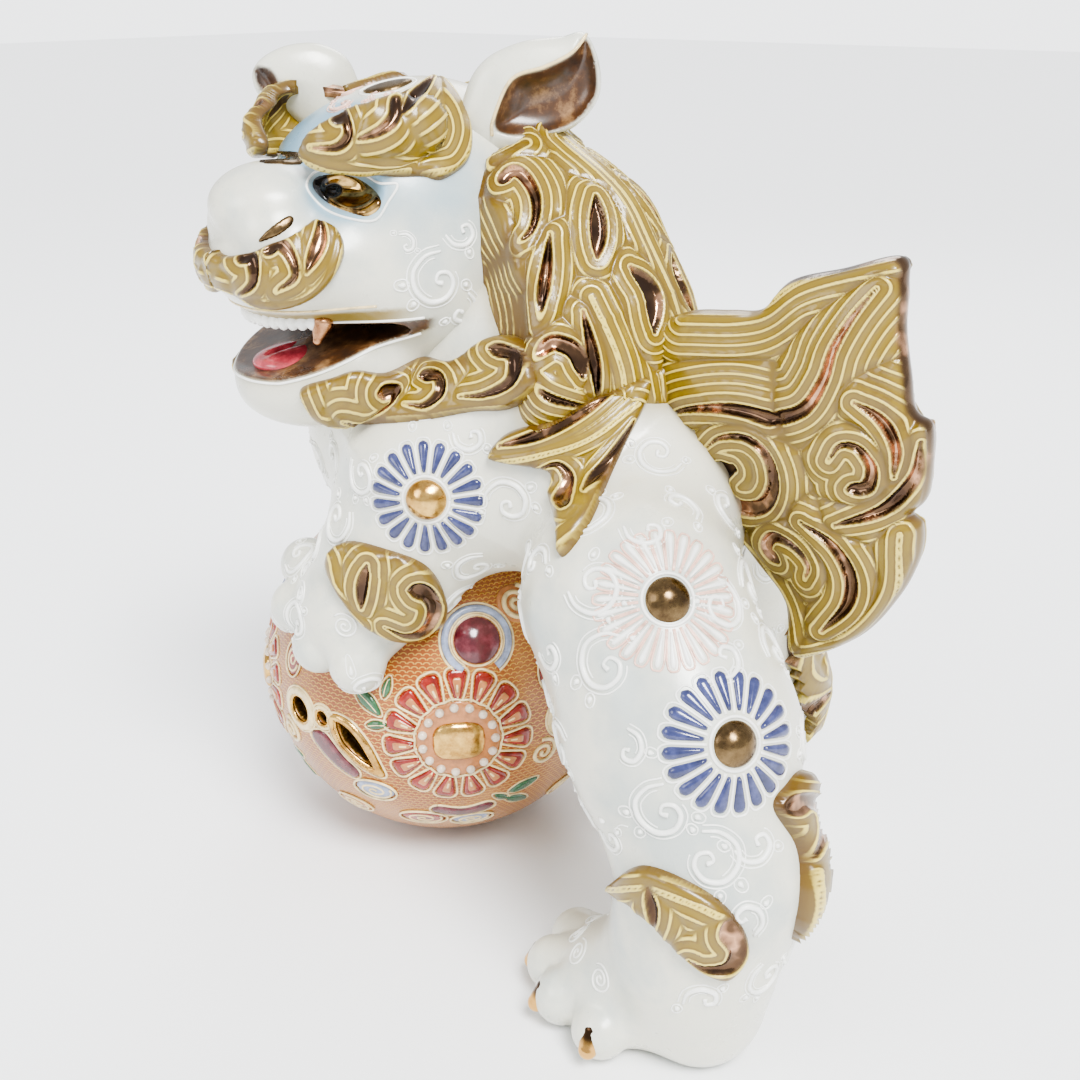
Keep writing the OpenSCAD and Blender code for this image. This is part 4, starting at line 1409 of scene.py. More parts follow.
def petal(r_in, r_out, width, angle, nt=13, ns=7):
    """One petal's plane grid with its height from 0 at the edge to 1 in the middle."""
    t = np.linspace(0, 1, nt)
    half = petal_half(t, width, 0.004)
    s = np.linspace(-1, 1, ns)
    r = r_in + (r_out - r_in) * t
    x, y = np.repeat(r, ns), (half[:, None] * s).ravel()
    ends = np.sqrt(np.clip((1 - t) / 0.12, 0, 1) * np.clip(t / 0.06, 0, 1))
    top = np.sqrt(np.maximum(1 - s ** 2, 0))[None, :] * ends[:, None]
    return spun(x, y, angle), top.ravel(), grid_quads(nt, ns)


def petal_loop(r_in, r_out, width, angle, grow):
    """The line round a petal, a little outside it."""
    t = 1 - (1 - np.linspace(0, 1, 22)) ** 1.6
    half = grow + petal_half(t, width, 0)
    r = r_in + (r_out - r_in) * t + grow * soft(t, 0.7, 1.0)
    half[-1] = 0
    return spun(np.r_[r, r[-2::-1]], np.r_[half, -half[-2::-1]], angle)


def petals(name, place, field, r_in, r_out, width, count, height, material, slot):
    """A flower's ring of raised petals, as one piece."""
    all_uv, tops, all_quads, base = [], [], [], 0
    for i in range(count):
        uv, top, quads = petal(r_in, r_out, width, 2 * math.pi * i / count)
        all_uv.append(uv)
        tops.append(top)
        all_quads.append(quads + base)
        base += len(uv)
    uv, top, quads = np.vstack(all_uv), np.concatenate(tops), np.vstack(all_quads)
    p, n, _ = drape(place, uv, field)
    verts, faces = close_pad(p, n, height * top - PETAL_SINK, quads, 0.8)
    mesh_piece(name, verts, faces, material, [name], slot)


def petal_lines(place, field, r_in, r_out, width, count, grow, radius, turn=0.0):
    """The raised lines round a ring of petals."""
    shapes = [(petal_loop(r_in, r_out, width, 2 * math.pi * i / count + turn, grow), radius)
              for i in range(count)]
    return draped_lines(place, shapes, field)


def dome(name, place, field, r, height, material, node, slot):
    """A low boss: a disc pad with a round top."""
    rings, count = 12, 40
    a = np.linspace(0, 2 * math.pi, count, endpoint=False)
    radii = np.linspace(0, 1, rings + 1)[1:]
    uv = [np.zeros((1, 2))] + [np.column_stack([r * k * np.cos(a), r * k * np.sin(a)]) for k in radii]
    t = np.r_[0, np.repeat(radii, count)]
    p, n, _ = drape(place, np.vstack(uv), field)
    rise = height * (1 - t ** 2) - 0.6 * (t > 0.99)
    verts = p + n * rise[:, None]
    index = 1 + np.arange(rings * count).reshape(rings, count)
    turned_on = np.roll(index, -1, 1)
    quads = np.stack([index[:-1], index[1:], turned_on[1:], turned_on[:-1]], -1).reshape(-1, 4)
    fan = np.stack([np.zeros(count, int), index[0], np.roll(index[0], -1)], 1)
    low = len(verts)
    verts = np.vstack([verts, p[:1] - n[:1] * 1.5])
    base = np.stack([np.full(count, low), np.roll(index[-1], -1), index[-1]], 1)
    mesh_piece(name, verts, [quads, np.vstack([fan, base])], material, [node], slot)


def ring_line(r, step=0.6):
    a = np.linspace(0, 2 * math.pi, max(16, int(2 * math.pi * r / step)) + 1)
    return np.column_stack([r * np.cos(a), r * np.sin(a)])


# Where each flower sits and faces, its petals' radii and width, how many, and their colour
FLOWERS = {
    "left_shoulder": ((63, -23, 156), 128, 12, 7.5, 18.0, 4.3, 19, "blue"),
    "left_hip": ((66, 68, 150), 128, 24, 8.0, 19.5, 3.9, 27, "pink"),
    "left_knee": ((71, 94, 115), 140, 22, 8.0, 19.5, 4.6, 20, "blue"),
    "right_shoulder": ((-62, -44, 154), -118, 12, 7.5, 18.0, 4.3, 19, "blue"),
    "right_hip": ((-66, 16, 150), -118, 22, 8.0, 19.5, 3.9, 27, "pink"),
    "right_knee": ((-68, 30, 112), -128, 16, 8.0, 19.5, 4.6, 20, "blue"),
}
FLOWER_SEATS = {name: seat_on(body, f[0], f[1], f[2]) for name, f in FLOWERS.items()}


def flowers():
    """The six flowers: blue or pink petals with slip lines round them, and a domed boss each."""
    slip, pink_slip = [], []
    for name, (_, _, _, r_in, r_out, width, count, kind) in FLOWERS.items():
        place = FLOWER_SEATS[name]
        if kind == "blue":
            thin, thin_line, height, grow, lines = 1, 1, 1.1, 0.65, slip
            look = (BLUE_ENAMEL, "blue_enamel")
        else:
            thin, thin_line, height, grow, lines = 0.55, 0.7, 0.9, 0.5, pink_slip
            look = (SLIP, "pink_enamel")
        petals(name + "_petals", place, body, r_in + 0.8, r_out, width * thin, count, height, *look)
        lines.extend(petal_lines(place, body, r_in + 0.2, r_out, width * thin_line, count, grow, 0.32))
        slip += draped_lines(place, [(ring_line(7.3), 0.5)], body)
        metal, slot = ((GOLD_LUSTRE, "gold_lustre") if name.endswith("shoulder")
                       else (BRONZE_LUSTRE, "bronze_lustre"))
        dome(name + "_boss", place, body, 6.7, 3.0, metal, name + "_boss", slot)
    tubes("flower_slip_lines", slip, SLIP, [], "white_glaze")
    tubes("flower_pink_lines", pink_slip, PINK_ENAMEL, [], "pink_enamel")


# ---- tufts on wrists, ankles and hocks ----

WRIST_EDGE = [(-14, 14), (-8, 20), (4, 17), (17, 11), (23, 1), (21, -8), (9, -13), (-3, -8), (-11, 3)]
WRIST_STROKES = [
    ("lens", 1.5, [(0, 13), (-2, 7), (-3, 0)]),
    ("comma", 2.6, [(3, -6), (9, -9), (15, -7), (18, -1), (16, 4), (12, 5)]),
    ("guide", 0, [(-14, 14), (-12, 4), (-4, -6)]),
]
ANKLE_EDGE = [(-6, 11), (3, 17), (18, 12), (28, 5), (33, -4), (28, -12), (21, -11), (13, -5), (6, 2),
              (-1, 7)]
ANKLE_STROKES = [
    ("lens", 1.2, [(6, 12), (8, 6), (8, 1)]),
    ("comma", 2.8, [(17, -6), (21, -8), (27, -7), (29, -2), (26, 3)]),
    ("guide", 0, [(-6, 11), (6, 12), (18, 8), (27, 4)]),
]
HOCK_EDGE = [(-11, 6), (-8, 13), (-4, 18), (4, 19), (9, 10), (12, -2), (12, -15), (5, -31),
             (-3, -35), (-2, -17), (-4, -4)]
HOCK_STROKES = [
    ("comma", 2.6, [(-2, -7), (-1, 1), (-2, 7), (-6, 9), (-9, 6)]),
    ("lens", 1.6, [(4, 17), (8, 6), (11, -4), (9, -14), (2, -22)]),
    ("guide", 0, [(-1, -10), (0, -20), (-3, -33)]),
]
# Left seat, right seat, outline, grooves and height of each pair
TUFTS = {
    "wrist": (seat((64, -46, 116), 134, 24), seat((-56, -66, 116), -134, 24),
              WRIST_EDGE, WRIST_STROKES, 3.2),
    "ankle": (seat((74, 62, 44), 123, 37), seat((-74, 4, 44), -123, 37),
              ANKLE_EDGE, ANKLE_STROKES, 3.2),
    "hock": (seat((54, 108, 84), 114, 33), seat((-54, 48, 82), -114, 33),
             HOCK_EDGE, HOCK_STROKES, 4.5),
}


def tufts():
    for name, (left, right, edge, strokes, height) in TUFTS.items():
        hair_pad("left_%s_tuft" % name, left, edge, body, height, strokes)
        hair_pad("right_%s_tuft" % name, right, flipped(edge), body, height, flipped_strokes(strokes))


# ---- claws ----

def claw_field(pad_at, tips):
    """Short tapered rods that point from the foot's pad past each toe."""
    root = np.array([pad_at[0], pad_at[1], 0.0])

    def field(p):
        d = np.full(len(p), 99.0)
        for tip in tips:
            tip = np.array([tip[0], tip[1], 0.0])
            out = (tip - root) / np.linalg.norm(tip - root)
            base, end = tip + out * 4.5, tip + out * 8.0
            d = np.minimum(d, rod(p, (base[0], base[1], 12.5, 4.0), (end[0], end[1], 8.0, 2.9)))
        return d

    return field


def claws():
    for name, pad_at, tips in (("left_claws", LEFT_PAD, LEFT_TOES),
                               ("right_claws", RIGHT_PAD, RIGHT_TOES)):
        ends = np.array(tips)
        low, high = ends.min(0) - 18, ends.max(0) + 18
        low[2], high[2] = 0, 24
        verts, quads, _ = skin_of(claw_field(pad_at, tips), low, high, 1.0, 1)
        mesh_piece(name, verts, quads, CLAW, [name], "bronze_lustre", {"dark": soft(verts[:, 2], 10, 13)})


# ---- white slip scrolls on the glaze ----

def spiral(turns, r, start, step=0.5, r_in=0.5):
    """A plane spiral from r_in out to r."""
    count = max(14, int(turns * math.pi * (r + r_in) / step))
    t = np.linspace(0, 1, count)
    a = start + 2 * math.pi * turns * t
    radius = r_in + (r - r_in) * t
    return np.column_stack([radius * np.cos(a), radius * np.sin(a)])


def offset_line(line, amount):
    """A plane line moved sideways."""
    t = np.gradient(line, axis=0)
    t /= np.maximum(length(t), 1e-9)[:, None]
    return line + np.column_stack([-t[:, 1], t[:, 0]]) * amount


SCROLL = [(5.5, 5.6), (0.5, 7.0), (-5.0, 5.0), (-7.2, 0), (-5.4, -5.2), (-0.6, -7.0), (3.4, -4.8),
          (4.0, -1.2), (1.4, 0.6), (-0.6, -1.0), (0.8, -2.6)]
SHORT_SCROLL = [(-6, 3.0), (-4.4, -1.5), (0, -3.6), (4.2, -1.6), (4.2, 2.2), (1.4, 2.8), (1.0, 0.6)]
BUD = [(0, -2.1), (1.9, -0.6), (1.5, 2.0), (0, 2.9), (-1.5, 2.0), (-1.9, -0.6)]


def scroll_shapes(kind, scale, turn, hand, buds):
    """One raised scroll: a thick spine, thin outlines beside it, and a few buds."""
    line = curve(SCROLL if kind == "big" else SHORT_SCROLL, 0.45)
    t = np.linspace(0, 1, len(line))
    swell = np.sin(math.pi * np.clip(t * 0.9 + 0.05, 0, 1)) ** 0.7
    spine = 0.25 + 0.62 * swell + 0.35 * soft(t, 0.94, 1)
    cut = slice(0, int(len(line) * 0.80))
    inner = slice(int(len(line) * 0.06), int(len(line) * 0.52))
    shapes = [(line, spine), (offset_line(line, -1.75)[cut], 0.27),
              (offset_line(line, 1.6)[inner], 0.24)]
    for bx, by, spin, size in buds:
        c, s = math.cos(math.radians(spin)), math.sin(math.radians(spin))
        spot = np.array([[c, s], [-s, c]])
        shapes.append((curve(BUD, 0.45, True) @ spot * size + vec(bx, by), 0.25))
        drop = np.column_stack([np.zeros(7), np.linspace(-0.9, 1.5, 7)]) @ spot * size + vec(bx, by)
        shapes.append((drop, np.array([0.35, 0.75, 0.85, 0.75, 0.6, 0.4, 0.2])))
    c, s = math.cos(math.radians(turn)), math.sin(math.radians(turn))
    out = []
    for points, radii in shapes:
        q = points * scale * np.array([hand, 1.0])
        out.append((q @ np.array([[c, s], [-s, c]]), np.asarray(radii) * min(1.0, scale + 0.1)))
    return out


# The buds round each kind of scroll: place, turn and size
BUD_SETS = {
    "big": [[(-9.6, 3.4, 60, 0.9), (-9.8, -3.2, 110, 0.8), (6.8, -7.4, 200, 0.8)],
            [(-8.0, 7.6, 40, 0.9), (7.6, -5.8, 215, 0.9)],
            [(-9.8, -4.6, 120, 0.9), (-5.8, -9.6, 160, 0.8), (7.8, 5.0, -60, 0.7)]],
    "short": [[(-7.8, 5.4, 30, 0.8), (6.6, -3.4, 220, 0.8)], [(0, -6.6, 180, 0.9)], [(7.0, 4.4, -50, 0.8)]],
}


def scroll_lines(place, field, kind, scale, turn, hand, which):
    shapes = scroll_shapes(kind, scale, turn, hand, BUD_SETS[kind][which])
    return draped_lines(place, shapes, field)


# ---- ball ----

def sphere(p):
    return length(p - BALL) - BALL_R


def over_ball(height):
    """The ball's skin, raised."""
    return lambda p: sphere(p) - height


def ball_seat(around, up):
    place = seat((0, 0, 0), around, up)
    return (BALL + place[3] * BALL_R,) + place[1:]


ROUND_HOLES = [(-12.6, 1.0, 5.0), (-0.5, 2.0, 2.8)]
ALMOND = [(5.5, 2.5), (10.5, 1.5), (15.5, -4), (18.5, -13), (13.0, -10.5), (7.5, -5)]
ALMOND_FRAME = [(3.0, 4.5), (11, 4.5), (18, -2.5), (21.5, -12), (21.5, -17), (15.5, -15.5),
                (8.5, -10), (3.5, -3.5)]
MAROON_PATCH = [(-7.5, -6.5), (-2.5, -3.5), (1.5, -4.5), (7, -11), (12, -16.5), (10, -20.5),
                (4, -18.5), (-3.5, -12.5)]
QUARTERS = (0, 90, 180, 270)
CLUSTER_SEATS = [ball_seat(q + 91, -1) for q in QUARTERS]
MEDALLION_SEATS = [ball_seat(q + 44.5, -1) for q in QUARTERS]
ALMOND_SHAPE = region(ALMOND, 0.5, 10)


def holes(p):
    """How far outside every piercing a point is."""
    d = np.full(len(p), 99.0)
    for origin, u, v, n in CLUSTER_SEATS:
        q = p - origin
        uv = np.column_stack([q @ u, q @ v])
        behind = -25.0 - q @ n
        for hu, hv, r in ROUND_HOLES:
            d = np.minimum(d, np.maximum(length(uv - vec(hu, hv)) - r, behind))
        almond = np.where(length(uv - vec(12, -5)) < 20, ALMOND_SHAPE(uv), 20.0)
        d = np.minimum(d, np.maximum(almond, behind))
    return d


HALF_WALL = 2.5


def ball_field(p):
    """The pierced shell, cut flat where it stands on the floor."""
    shell = np.abs(sphere(p) + HALF_WALL) - HALF_WALL
    shell = np.maximum(shell, -p[:, 2])
    return np.maximum(shell, -holes(p))


def ball_shell():
    """The ball; rows and across are millimetres over its skin, for the scales of its ground."""
    verts, quads = net(ball_field, BALL - 70, BALL + 70, 1.15)
    out = verts - BALL
    r = length(out)
    outer = (np.abs(r - BALL_R) < 0.6) & (holes(verts) > 0.9)
    verts[outer] = BALL + out[outer] / r[outer][:, None] * BALL_R
    verts[:, 2] = np.maximum(verts[:, 2], 0)
    latitude = np.arcsin(np.clip(out[:, 2] / r, -1, 1))
    longitude = np.arctan2(out[:, 0] - out[:, 1], -out[:, 0] - out[:, 1])
    masks = {"gilt": (r < BALL_R - 0.9).astype(float), "rows": 400 + BALL_R * latitude,
             "across": 600 + BALL_R * longitude}
    mesh_piece("ball_shell", verts, quads, BALL_GROUND, ["ball_shell"], "ball_ground", masks)


def joined(solids):
    """Several meshes as one."""
    starts = np.cumsum([0] + [len(verts) for verts, _ in solids[:-1]])
    return (np.vstack([verts for verts, _ in solids]),
            np.vstack([faces + start for (_, faces), start in zip(solids, starts)]))


def pads(name, items, height, material, nodes, slot, step=0.7, edge=1.2, within=None):
    """Several enamel patches of one colour on the ball, each a closed raised pad."""
    solids = []
    for place, outline in items:
        _, p, n, rise, _, quads = pad(place, outline, sphere, height, step, edge, within, 0.3)
        solids.append(close_pad(p, n, rise, quads, 0.8))
    mesh_piece(name, *joined(solids), material, nodes, slot)


def beads(name, spots, r, material, nodes, slot):
    """Round beads sitting half in the surface."""
    rings, count = 7, 14
    lat = np.linspace(-1.2, math.pi / 2, rings, endpoint=False)
    a = np.linspace(0, 2 * math.pi, count, endpoint=False)
    unit = np.array([(math.cos(e) * math.cos(t), math.cos(e) * math.sin(t), math.sin(e))
                     for e in lat for t in a])
    unit = np.vstack([unit, (0, 0, 1), (0, 0, -0.95)])
    index = np.arange(rings * count).reshape(rings, count)
    turned_on = np.roll(index, -1, 1)
    quads = np.stack([index[:-1], turned_on[:-1], turned_on[1:], index[1:]], -1).reshape(-1, 4)
    top, low = rings * count, rings * count + 1
    tris = np.vstack([np.stack([index[-1], turned_on[-1], np.full(count, top)], 1),
                      np.stack([turned_on[0], index[0], np.full(count, low)], 1)])
    verts, all_quads, all_tris = [], [], []
    for number, (p, n) in enumerate(spots):
        u = np.cross(n, UP if abs(n[2]) < 0.9 else FORWARD)
        u /= np.linalg.norm(u)
        axes = np.array([u, np.cross(n, u), n])
        verts.append(p + n * r * 0.35 + (unit * r) @ axes)
        all_quads.append(quads + number * len(unit))
        all_tris.append(tris + number * len(unit))
    mesh_piece(name, np.vstack(verts), [np.vstack(all_quads), np.vstack(all_tris)], material, nodes, slot)


def circle(u, v, r, count=16):
    a = np.linspace(0, 2 * math.pi, count, endpoint=False)
    return [(u + r * math.cos(t), v + r * math.sin(t)) for t in a]


LEAF = [(-7, 0), (-3, 2.6), (2, 2.6), (7, 0), (2, -2.4), (-3, -2.4)]


def turned(outline, turn, scale, at):
    """An outline turned, scaled and moved."""
    c, s = math.cos(math.radians(turn)), math.sin(math.radians(turn))
    return [(at[0] + scale * (c * x - s * y), at[1] + scale * (s * x + c * y)) for x, y in outline]


MEDALLION_PETALS = 15
RAY_WIDTHS = np.array([0.2, 0.4, 0.5, 0.55, 0.6, 0.6, 0.65, 0.6, 0.35])


def petal_angle(i):
    return 2 * math.pi * i / MEDALLION_PETALS + math.pi / 2


def medallion_petals(name, r_in, r_out, width, height, material, nodes, slot):
    """One ring of raised petals on every medallion, as one piece."""
    solids = []
    for place in MEDALLION_SEATS:
        for i in range(MEDALLION_PETALS):
            uv, top, quads = petal(r_in, r_out, width, petal_angle(i), 11, 9)
            p, n, _ = drape(place, uv, sphere)
            rise = height * np.minimum(top * 1.6, 1) - PETAL_SINK
            solids.append(close_pad(p, n, rise, quads, 0.8))
    mesh_piece(name, *joined(solids), material, nodes, slot)


def medallions():
    """The four red flowers of the ball; gives their cream lines."""
    dishes, pearls, cream, bosses = [], [], [], []
    lobed = ring_line(14.7)
    lobes = np.abs(np.cos(7.5 * np.arctan2(lobed[:, 1], lobed[:, 0])))
    lobed = lobed * (1 + 0.035 * lobes)[:, None]
    ray = np.linspace(15.6, 20.8, len(RAY_WIDTHS))
    rays = [(np.column_stack([ray * math.cos(petal_angle(i)), ray * math.sin(petal_angle(i))]), RAY_WIDTHS)
            for i in range(MEDALLION_PETALS)]
    a = np.linspace(0, 2 * math.pi, MEDALLION_PETALS, endpoint=False)
    pearl_ring = np.column_stack([12.4 * np.cos(a), 12.4 * np.sin(a)])
    a = np.linspace(0, 2 * math.pi, 28, endpoint=False)
    squarish = np.abs(np.cos(a)) ** 3.2 + np.abs(np.sin(a)) ** 3.2
    boss = np.column_stack([9.2 * np.cos(a), 7.4 * np.sin(a)]) / (squarish ** (1 / 3.2))[:, None]
    for place in MEDALLION_SEATS:
        cream += petal_lines(place, sphere, 14.4, 25.2, 8.6, MEDALLION_PETALS, 0.55, 0.45, math.pi / 2)
        cream += draped_lines(place, [(lobed, 0.45), (ring_line(10.2), 0.4)], sphere)
        cream += draped_lines(place, rays, over_ball(0.55))
        p, n, _ = drape(place, pearl_ring, sphere)
        pearls += list(zip(p, n))
        dishes.append((place, circle(0, 0, 14.8, 24)))
        bosses.append((place, boss))
    medallion_petals("ball_medallion_petals", 15.0, 25.2, 8.4, 0.9, RED_ENAMEL,
                     ["ball_medallion_petals"], "red_enamel")
    medallion_petals("ball_petal_hearts", 15.6, 22.8, 4.2, 1.25, TAN_ENAMEL, [], "ball_ground")
    pads("ball_pearl_dishes", dishes, 0.45, TAN_ENAMEL, [], "ball_ground", 0.9)
    pads("ball_medallion_bosses", bosses, 2.6, GOLD_LUSTRE, ["ball_medallion_bosses"], "gold_lustre",
         0.6, 5.0)
    beads("ball_pearls", pearls, 1.6, PEARL_ENAMEL, ["ball_pearls"], "pink_enamel")
    return cream


def off_the_holes(p):
    return holes(p) > 0.25


def ball_frames():
    """The gold and cream work round the piercings; gives its cream lines."""
    cream, gold = [], []
    frames = [(place, outline) for place in CLUSTER_SEATS
              for outline in (circle(-12.6, 1.0, 8.4), circle(-0.5, 2.0, 5.0))]
    pads("ball_lobed_frames", frames, 0.9, CREAM_ENAMEL, ["ball_piercing_rims"], "ball_ground",
         0.6, 1.2, off_the_holes)
    pads("ball_almond_frames", [(place, ALMOND_FRAME) for place in CLUSTER_SEATS], 1.1, GOLD_LUSTRE, [],
         "gold_lustre", 0.6, 1.4, off_the_holes)
    pads("ball_maroon_patches", [(place, MAROON_PATCH) for place in CLUSTER_SEATS], 0.8, MAROON_ENAMEL,
         [], "maroon_enamel", 0.7)
    for place in CLUSTER_SEATS:
        for hu, hv, r in ROUND_HOLES:
            gold += draped_lines(place, [(ring_line(r + 0.35) + vec(hu, hv), 0.75)], sphere)
        gold += draped_lines(place, [(loop(ALMOND, 0.35), 0.75)], sphere)
        cream += draped_lines(place, [(loop(MAROON_PATCH, 0.4), 0.45), (loop(ALMOND_FRAME, 0.4), 0.45),
                                      (ring_line(8.5) + vec(-12.6, 1.0), 0.45),
                                      (ring_line(5.2) + vec(-0.5, 2.0), 0.45)], sphere)
    tubes("ball_hole_beads", gold, GOLD_LUSTRE, [], "gold_lustre")
    return cream


LOWER_PATCH = [(-9, 2.5), (0, 0.6), (9, 2.5), (11, -1.5), (4, -4.5), (-4, -4.5), (-11, -1.5)]


def ball_enamels():
    """Cabochons, leaves and spirals between the medallions and the openwork; gives their cream lines."""
    green, red, blue, tan, cream, white, band, maroon = [], [], [], [], [], [], [], []
    for q in QUARTERS:
        dot = ball_seat(q + 52, 29)
        a = np.radians(np.linspace(-58, 238, 60))
        arc = np.column_stack([np.cos(a), np.sin(a)])
        band += draped_lines(dot, [(arc * 10.9, 1.35)], over_ball(-0.5))
        cream += draped_lines(dot, [(ring_line(8.6), 0.4), (arc * 12.7, 0.45), (arc * 9.4, 0.3)],
                              sphere)
        swirl = ball_seat(q + 69, 38)
        tan.append((swirl, circle(0, 0, 7.2)))
        white += draped_lines(swirl, [(spiral(2.1, 6.4, 0.6), 0.9)], over_ball(0.3))
        small = ball_seat(q + 72, -11)
        white += draped_lines(small, [(spiral(1.9, 5.6, 2.4), 0.75)], sphere)
        spot = ball_seat(q + 75, 15)
        red.append((spot, [(x * 0.8, y * 1.15) for x, y in circle(0, 0, 5.6)]))
        cream += draped_lines(spot, [(spiral(1.8, 4.4, 1.0) * vec(0.8, 1.15), 0.5),
                                     (ring_line(6.0) * vec(0.8, 1.15), 0.4)], over_ball(0.35))
        leaves = ball_seat(q + 17, 10)
        for turn, scale, at in ((-40, 0.95, (0, 0)), (78, 0.6, (6.5, 6)), (10, 0.62, (3.5, -8))):
            shape = turned(LEAF, turn, scale, at)
            green.append((leaves, shape))
            vein = np.array(turned([(-5, 0), (0, 0.3), (5, 0)], turn, scale, at))
            cream += draped_lines(leaves, [(loop(shape, 0.35), 0.32)], sphere)
            cream += draped_lines(leaves, [(curve(vein, 0.5), 0.22)], over_ball(0.7))
        lower = ball_seat(q + 67, -27)
        for turn, scale, at in ((20, 0.85, (0, 4)), (-25, 0.8, (-1, -4)), (150, 0.55, (-8, 0))):
            shape = turned(LEAF, turn, scale, at)
            green.append((lower, shape))
            cream += draped_lines(lower, [(loop(shape, 0.35), 0.32)], sphere)
        for around, up, where, r, sx in ((16, -23, blue, 6.2, 1.25), (31, -37, red, 6.2, 1.3),
                                         (2, -36, tan, 6.0, 1.2), (50, -39, blue, 5.6, 1.3)):
            place = ball_seat(q + around, up)
            where.append((place, [(x * sx, y * 0.8) for x, y in circle(0, 0, r)]))
            cream += draped_lines(place, [(spiral(2.0, r - 1.0, 0.4) * vec(sx, 0.8), 0.5),
                                          (ring_line(r + 0.4) * vec(sx, 0.8), 0.45)], over_ball(0.35))
        side = ball_seat(q, 22)
        tan.append((side, circle(0, 0, 6.4)))
        white += draped_lines(side, [(spiral(2.0, 5.6, 2.0), 0.8)], over_ball(0.3))
        low = ball_seat(q + 46, -31)
        maroon.append((low, LOWER_PATCH))
        cream += draped_lines(low, [(loop(LOWER_PATCH, 0.4), 0.45)], sphere)
    for k, q in enumerate(QUARTERS):
        dome("ball_cabochon_%d" % k, ball_seat(q + 52, 29), sphere, 8.4, 2.2, MAROON_ENAMEL,
             "ball_cabochons", "maroon_enamel")
    pads("ball_leaves", green, 0.8, GREEN_ENAMEL, [], "blue_enamel", 0.55, 1.0)
    pads("ball_red_spots", red, 0.6, RED_ENAMEL, [], "red_enamel")
    pads("ball_blue_spots", blue, 0.6, BLUE_GREY_ENAMEL, [], "blue_enamel")
    pads("ball_tan_spots", tan, 0.5, TAN_ENAMEL, [], "ball_ground")
    pads("ball_maroon_petals", maroon, 0.7, MAROON_ENAMEL, [], "maroon_enamel")
    tubes("ball_blue_bands", band, BLUE_GREY_ENAMEL, [], "blue_enamel", 9)
    tubes("ball_white_swirls", white, CREAM_ENAMEL, [], "white_glaze")
    return cream


def ball_pieces():
    ball_shell()
    cream = medallions() + ball_frames() + ball_enamels()
    tubes("ball_cream_lines", cream, CREAM_ENAMEL, [], "khaki_enamel", 6)


# ---- scrolls scattered over the white skin ----

# The scrolls that the photograph places: spot, kind, scale, turn, hand and set of buds
SCROLLS = [
    ((76, 46, 150), "big", 0.95, 150, 1, 0), ((80, 54, 132), "big", 1.05, 20, 1, 2),
    ((50, 82, 150), "big", 0.9, -60, -1, 1), ((60, 84, 134), "short", 0.9, 60, 1, 0),
    ((60, 55, 168), "short", 0.95, 0, 1, 2), ((85, 68, 112), "short", 0.8, 90, -1, 1),
    ((86, 78, 96), "big", 1.0, 40, 1, 0), ((80, 92, 84), "big", 1.0, -20, -1, 2),
    ((72, 103, 86), "short", 0.95, 20, 1, 0), ((74, 100, 66), "short", 0.9, 130, 1, 1),
    ((46, -18, 129), "big", 0.85, 30, 1, 1), ((66, -48, 160), "big", 0.8, 100, 1, 0),
    ((54, -14, 175), "short", 0.85, 10, 1, 0), ((52, -2, 156), "big", 0.9, 60, -1, 2),
    ((84, 60, 78), "short", 0.8, 20, 1, 2),
]
SCROLL_GAP = 19.0
TOE_SPIRAL_R = 4.6
LEFT_WRIST = vec(57, -62, 107)
RIGHT_WRIST = vec(-50, -82, 107)
FACING_DOWN = -0.75


def clear_of_dress(p, margin):
    """True where the skin is free of hair, flowers, ball and feet."""
    free = (mane(p) > margin) & (tail(p) > margin) & (sphere(p) > margin) & (p[:, 2] > 34)
    for place in FLOWER_SEATS.values():
        free &= length(p - place[0]) > 20 + margin * 0.7
    for left, right, *_ in TUFTS.values():
        for place in (left, right):
            free &= length(p - place[0]) > 22 + margin * 0.5
    for place in (LOCK_SEAT, RIGHT_LOCK_SEAT):
        free &= length(p - place[0]) > 26
    return free & (head(p) > margin)


def scrolls(verts, normals):
    """The scrolls that the photograph places, then seeded ones wherever the skin is still bare."""
    lines, taken = [], []
    for spot, kind, scale, turn, hand, which in SCROLLS:
        p, n = settle(body, vec(*spot)[None, :], 6, 6.0)
        taken.append(p[0])
        lines += scroll_lines(facing(p[0], n[0]), body, kind, scale, turn, hand, which)
    order = np.random.default_rng(4).permutation(len(verts))
    bare = order[clear_of_dress(verts[order], 8.0)]
    rolls = np.random.default_rng(9)
    for p, n in zip(verts[bare], normals[bare]):
        if n[2] < FACING_DOWN or length(np.array(taken) - p).min() < SCROLL_GAP:
            continue
        taken.append(p)
        kind = "big" if rolls.random() < 0.5 else "short"
        lines += scroll_lines(facing(p, n), body, kind, rolls.uniform(0.75, 0.95),
                              rolls.uniform(0, 360), 1 if rolls.random() < 0.6 else -1,
                              int(rolls.integers(0, 3)))
    tubes("body_scrolls", lines, SLIP, [], "white_glaze", 6)


def toe_spirals():
    """A small spiral on every toe and finger."""
    lines = []
    for tips, root, around in ((LEFT_TOES, LEFT_PAD, 90), (RIGHT_TOES, RIGHT_PAD, -90),
                               (LEFT_FINGERS, LEFT_WRIST, 90), (RIGHT_FINGERS, RIGHT_WRIST, -90)):
        for tip in tips:
            tip, knuckle = np.asarray(tip, float), np.asarray(root, float)
            spot = tip + (knuckle - tip) * 0.35 + vec(0, 0, 12)
            place = seat_on(body, spot, around, 50)
            lines += draped_lines(place, [(spiral(2.3, TOE_SPIRAL_R, 0.5, 0.45, 0.4), 0.36)], body)
    tubes("toe_spirals", lines, SLIP, [], "white_glaze", 6)


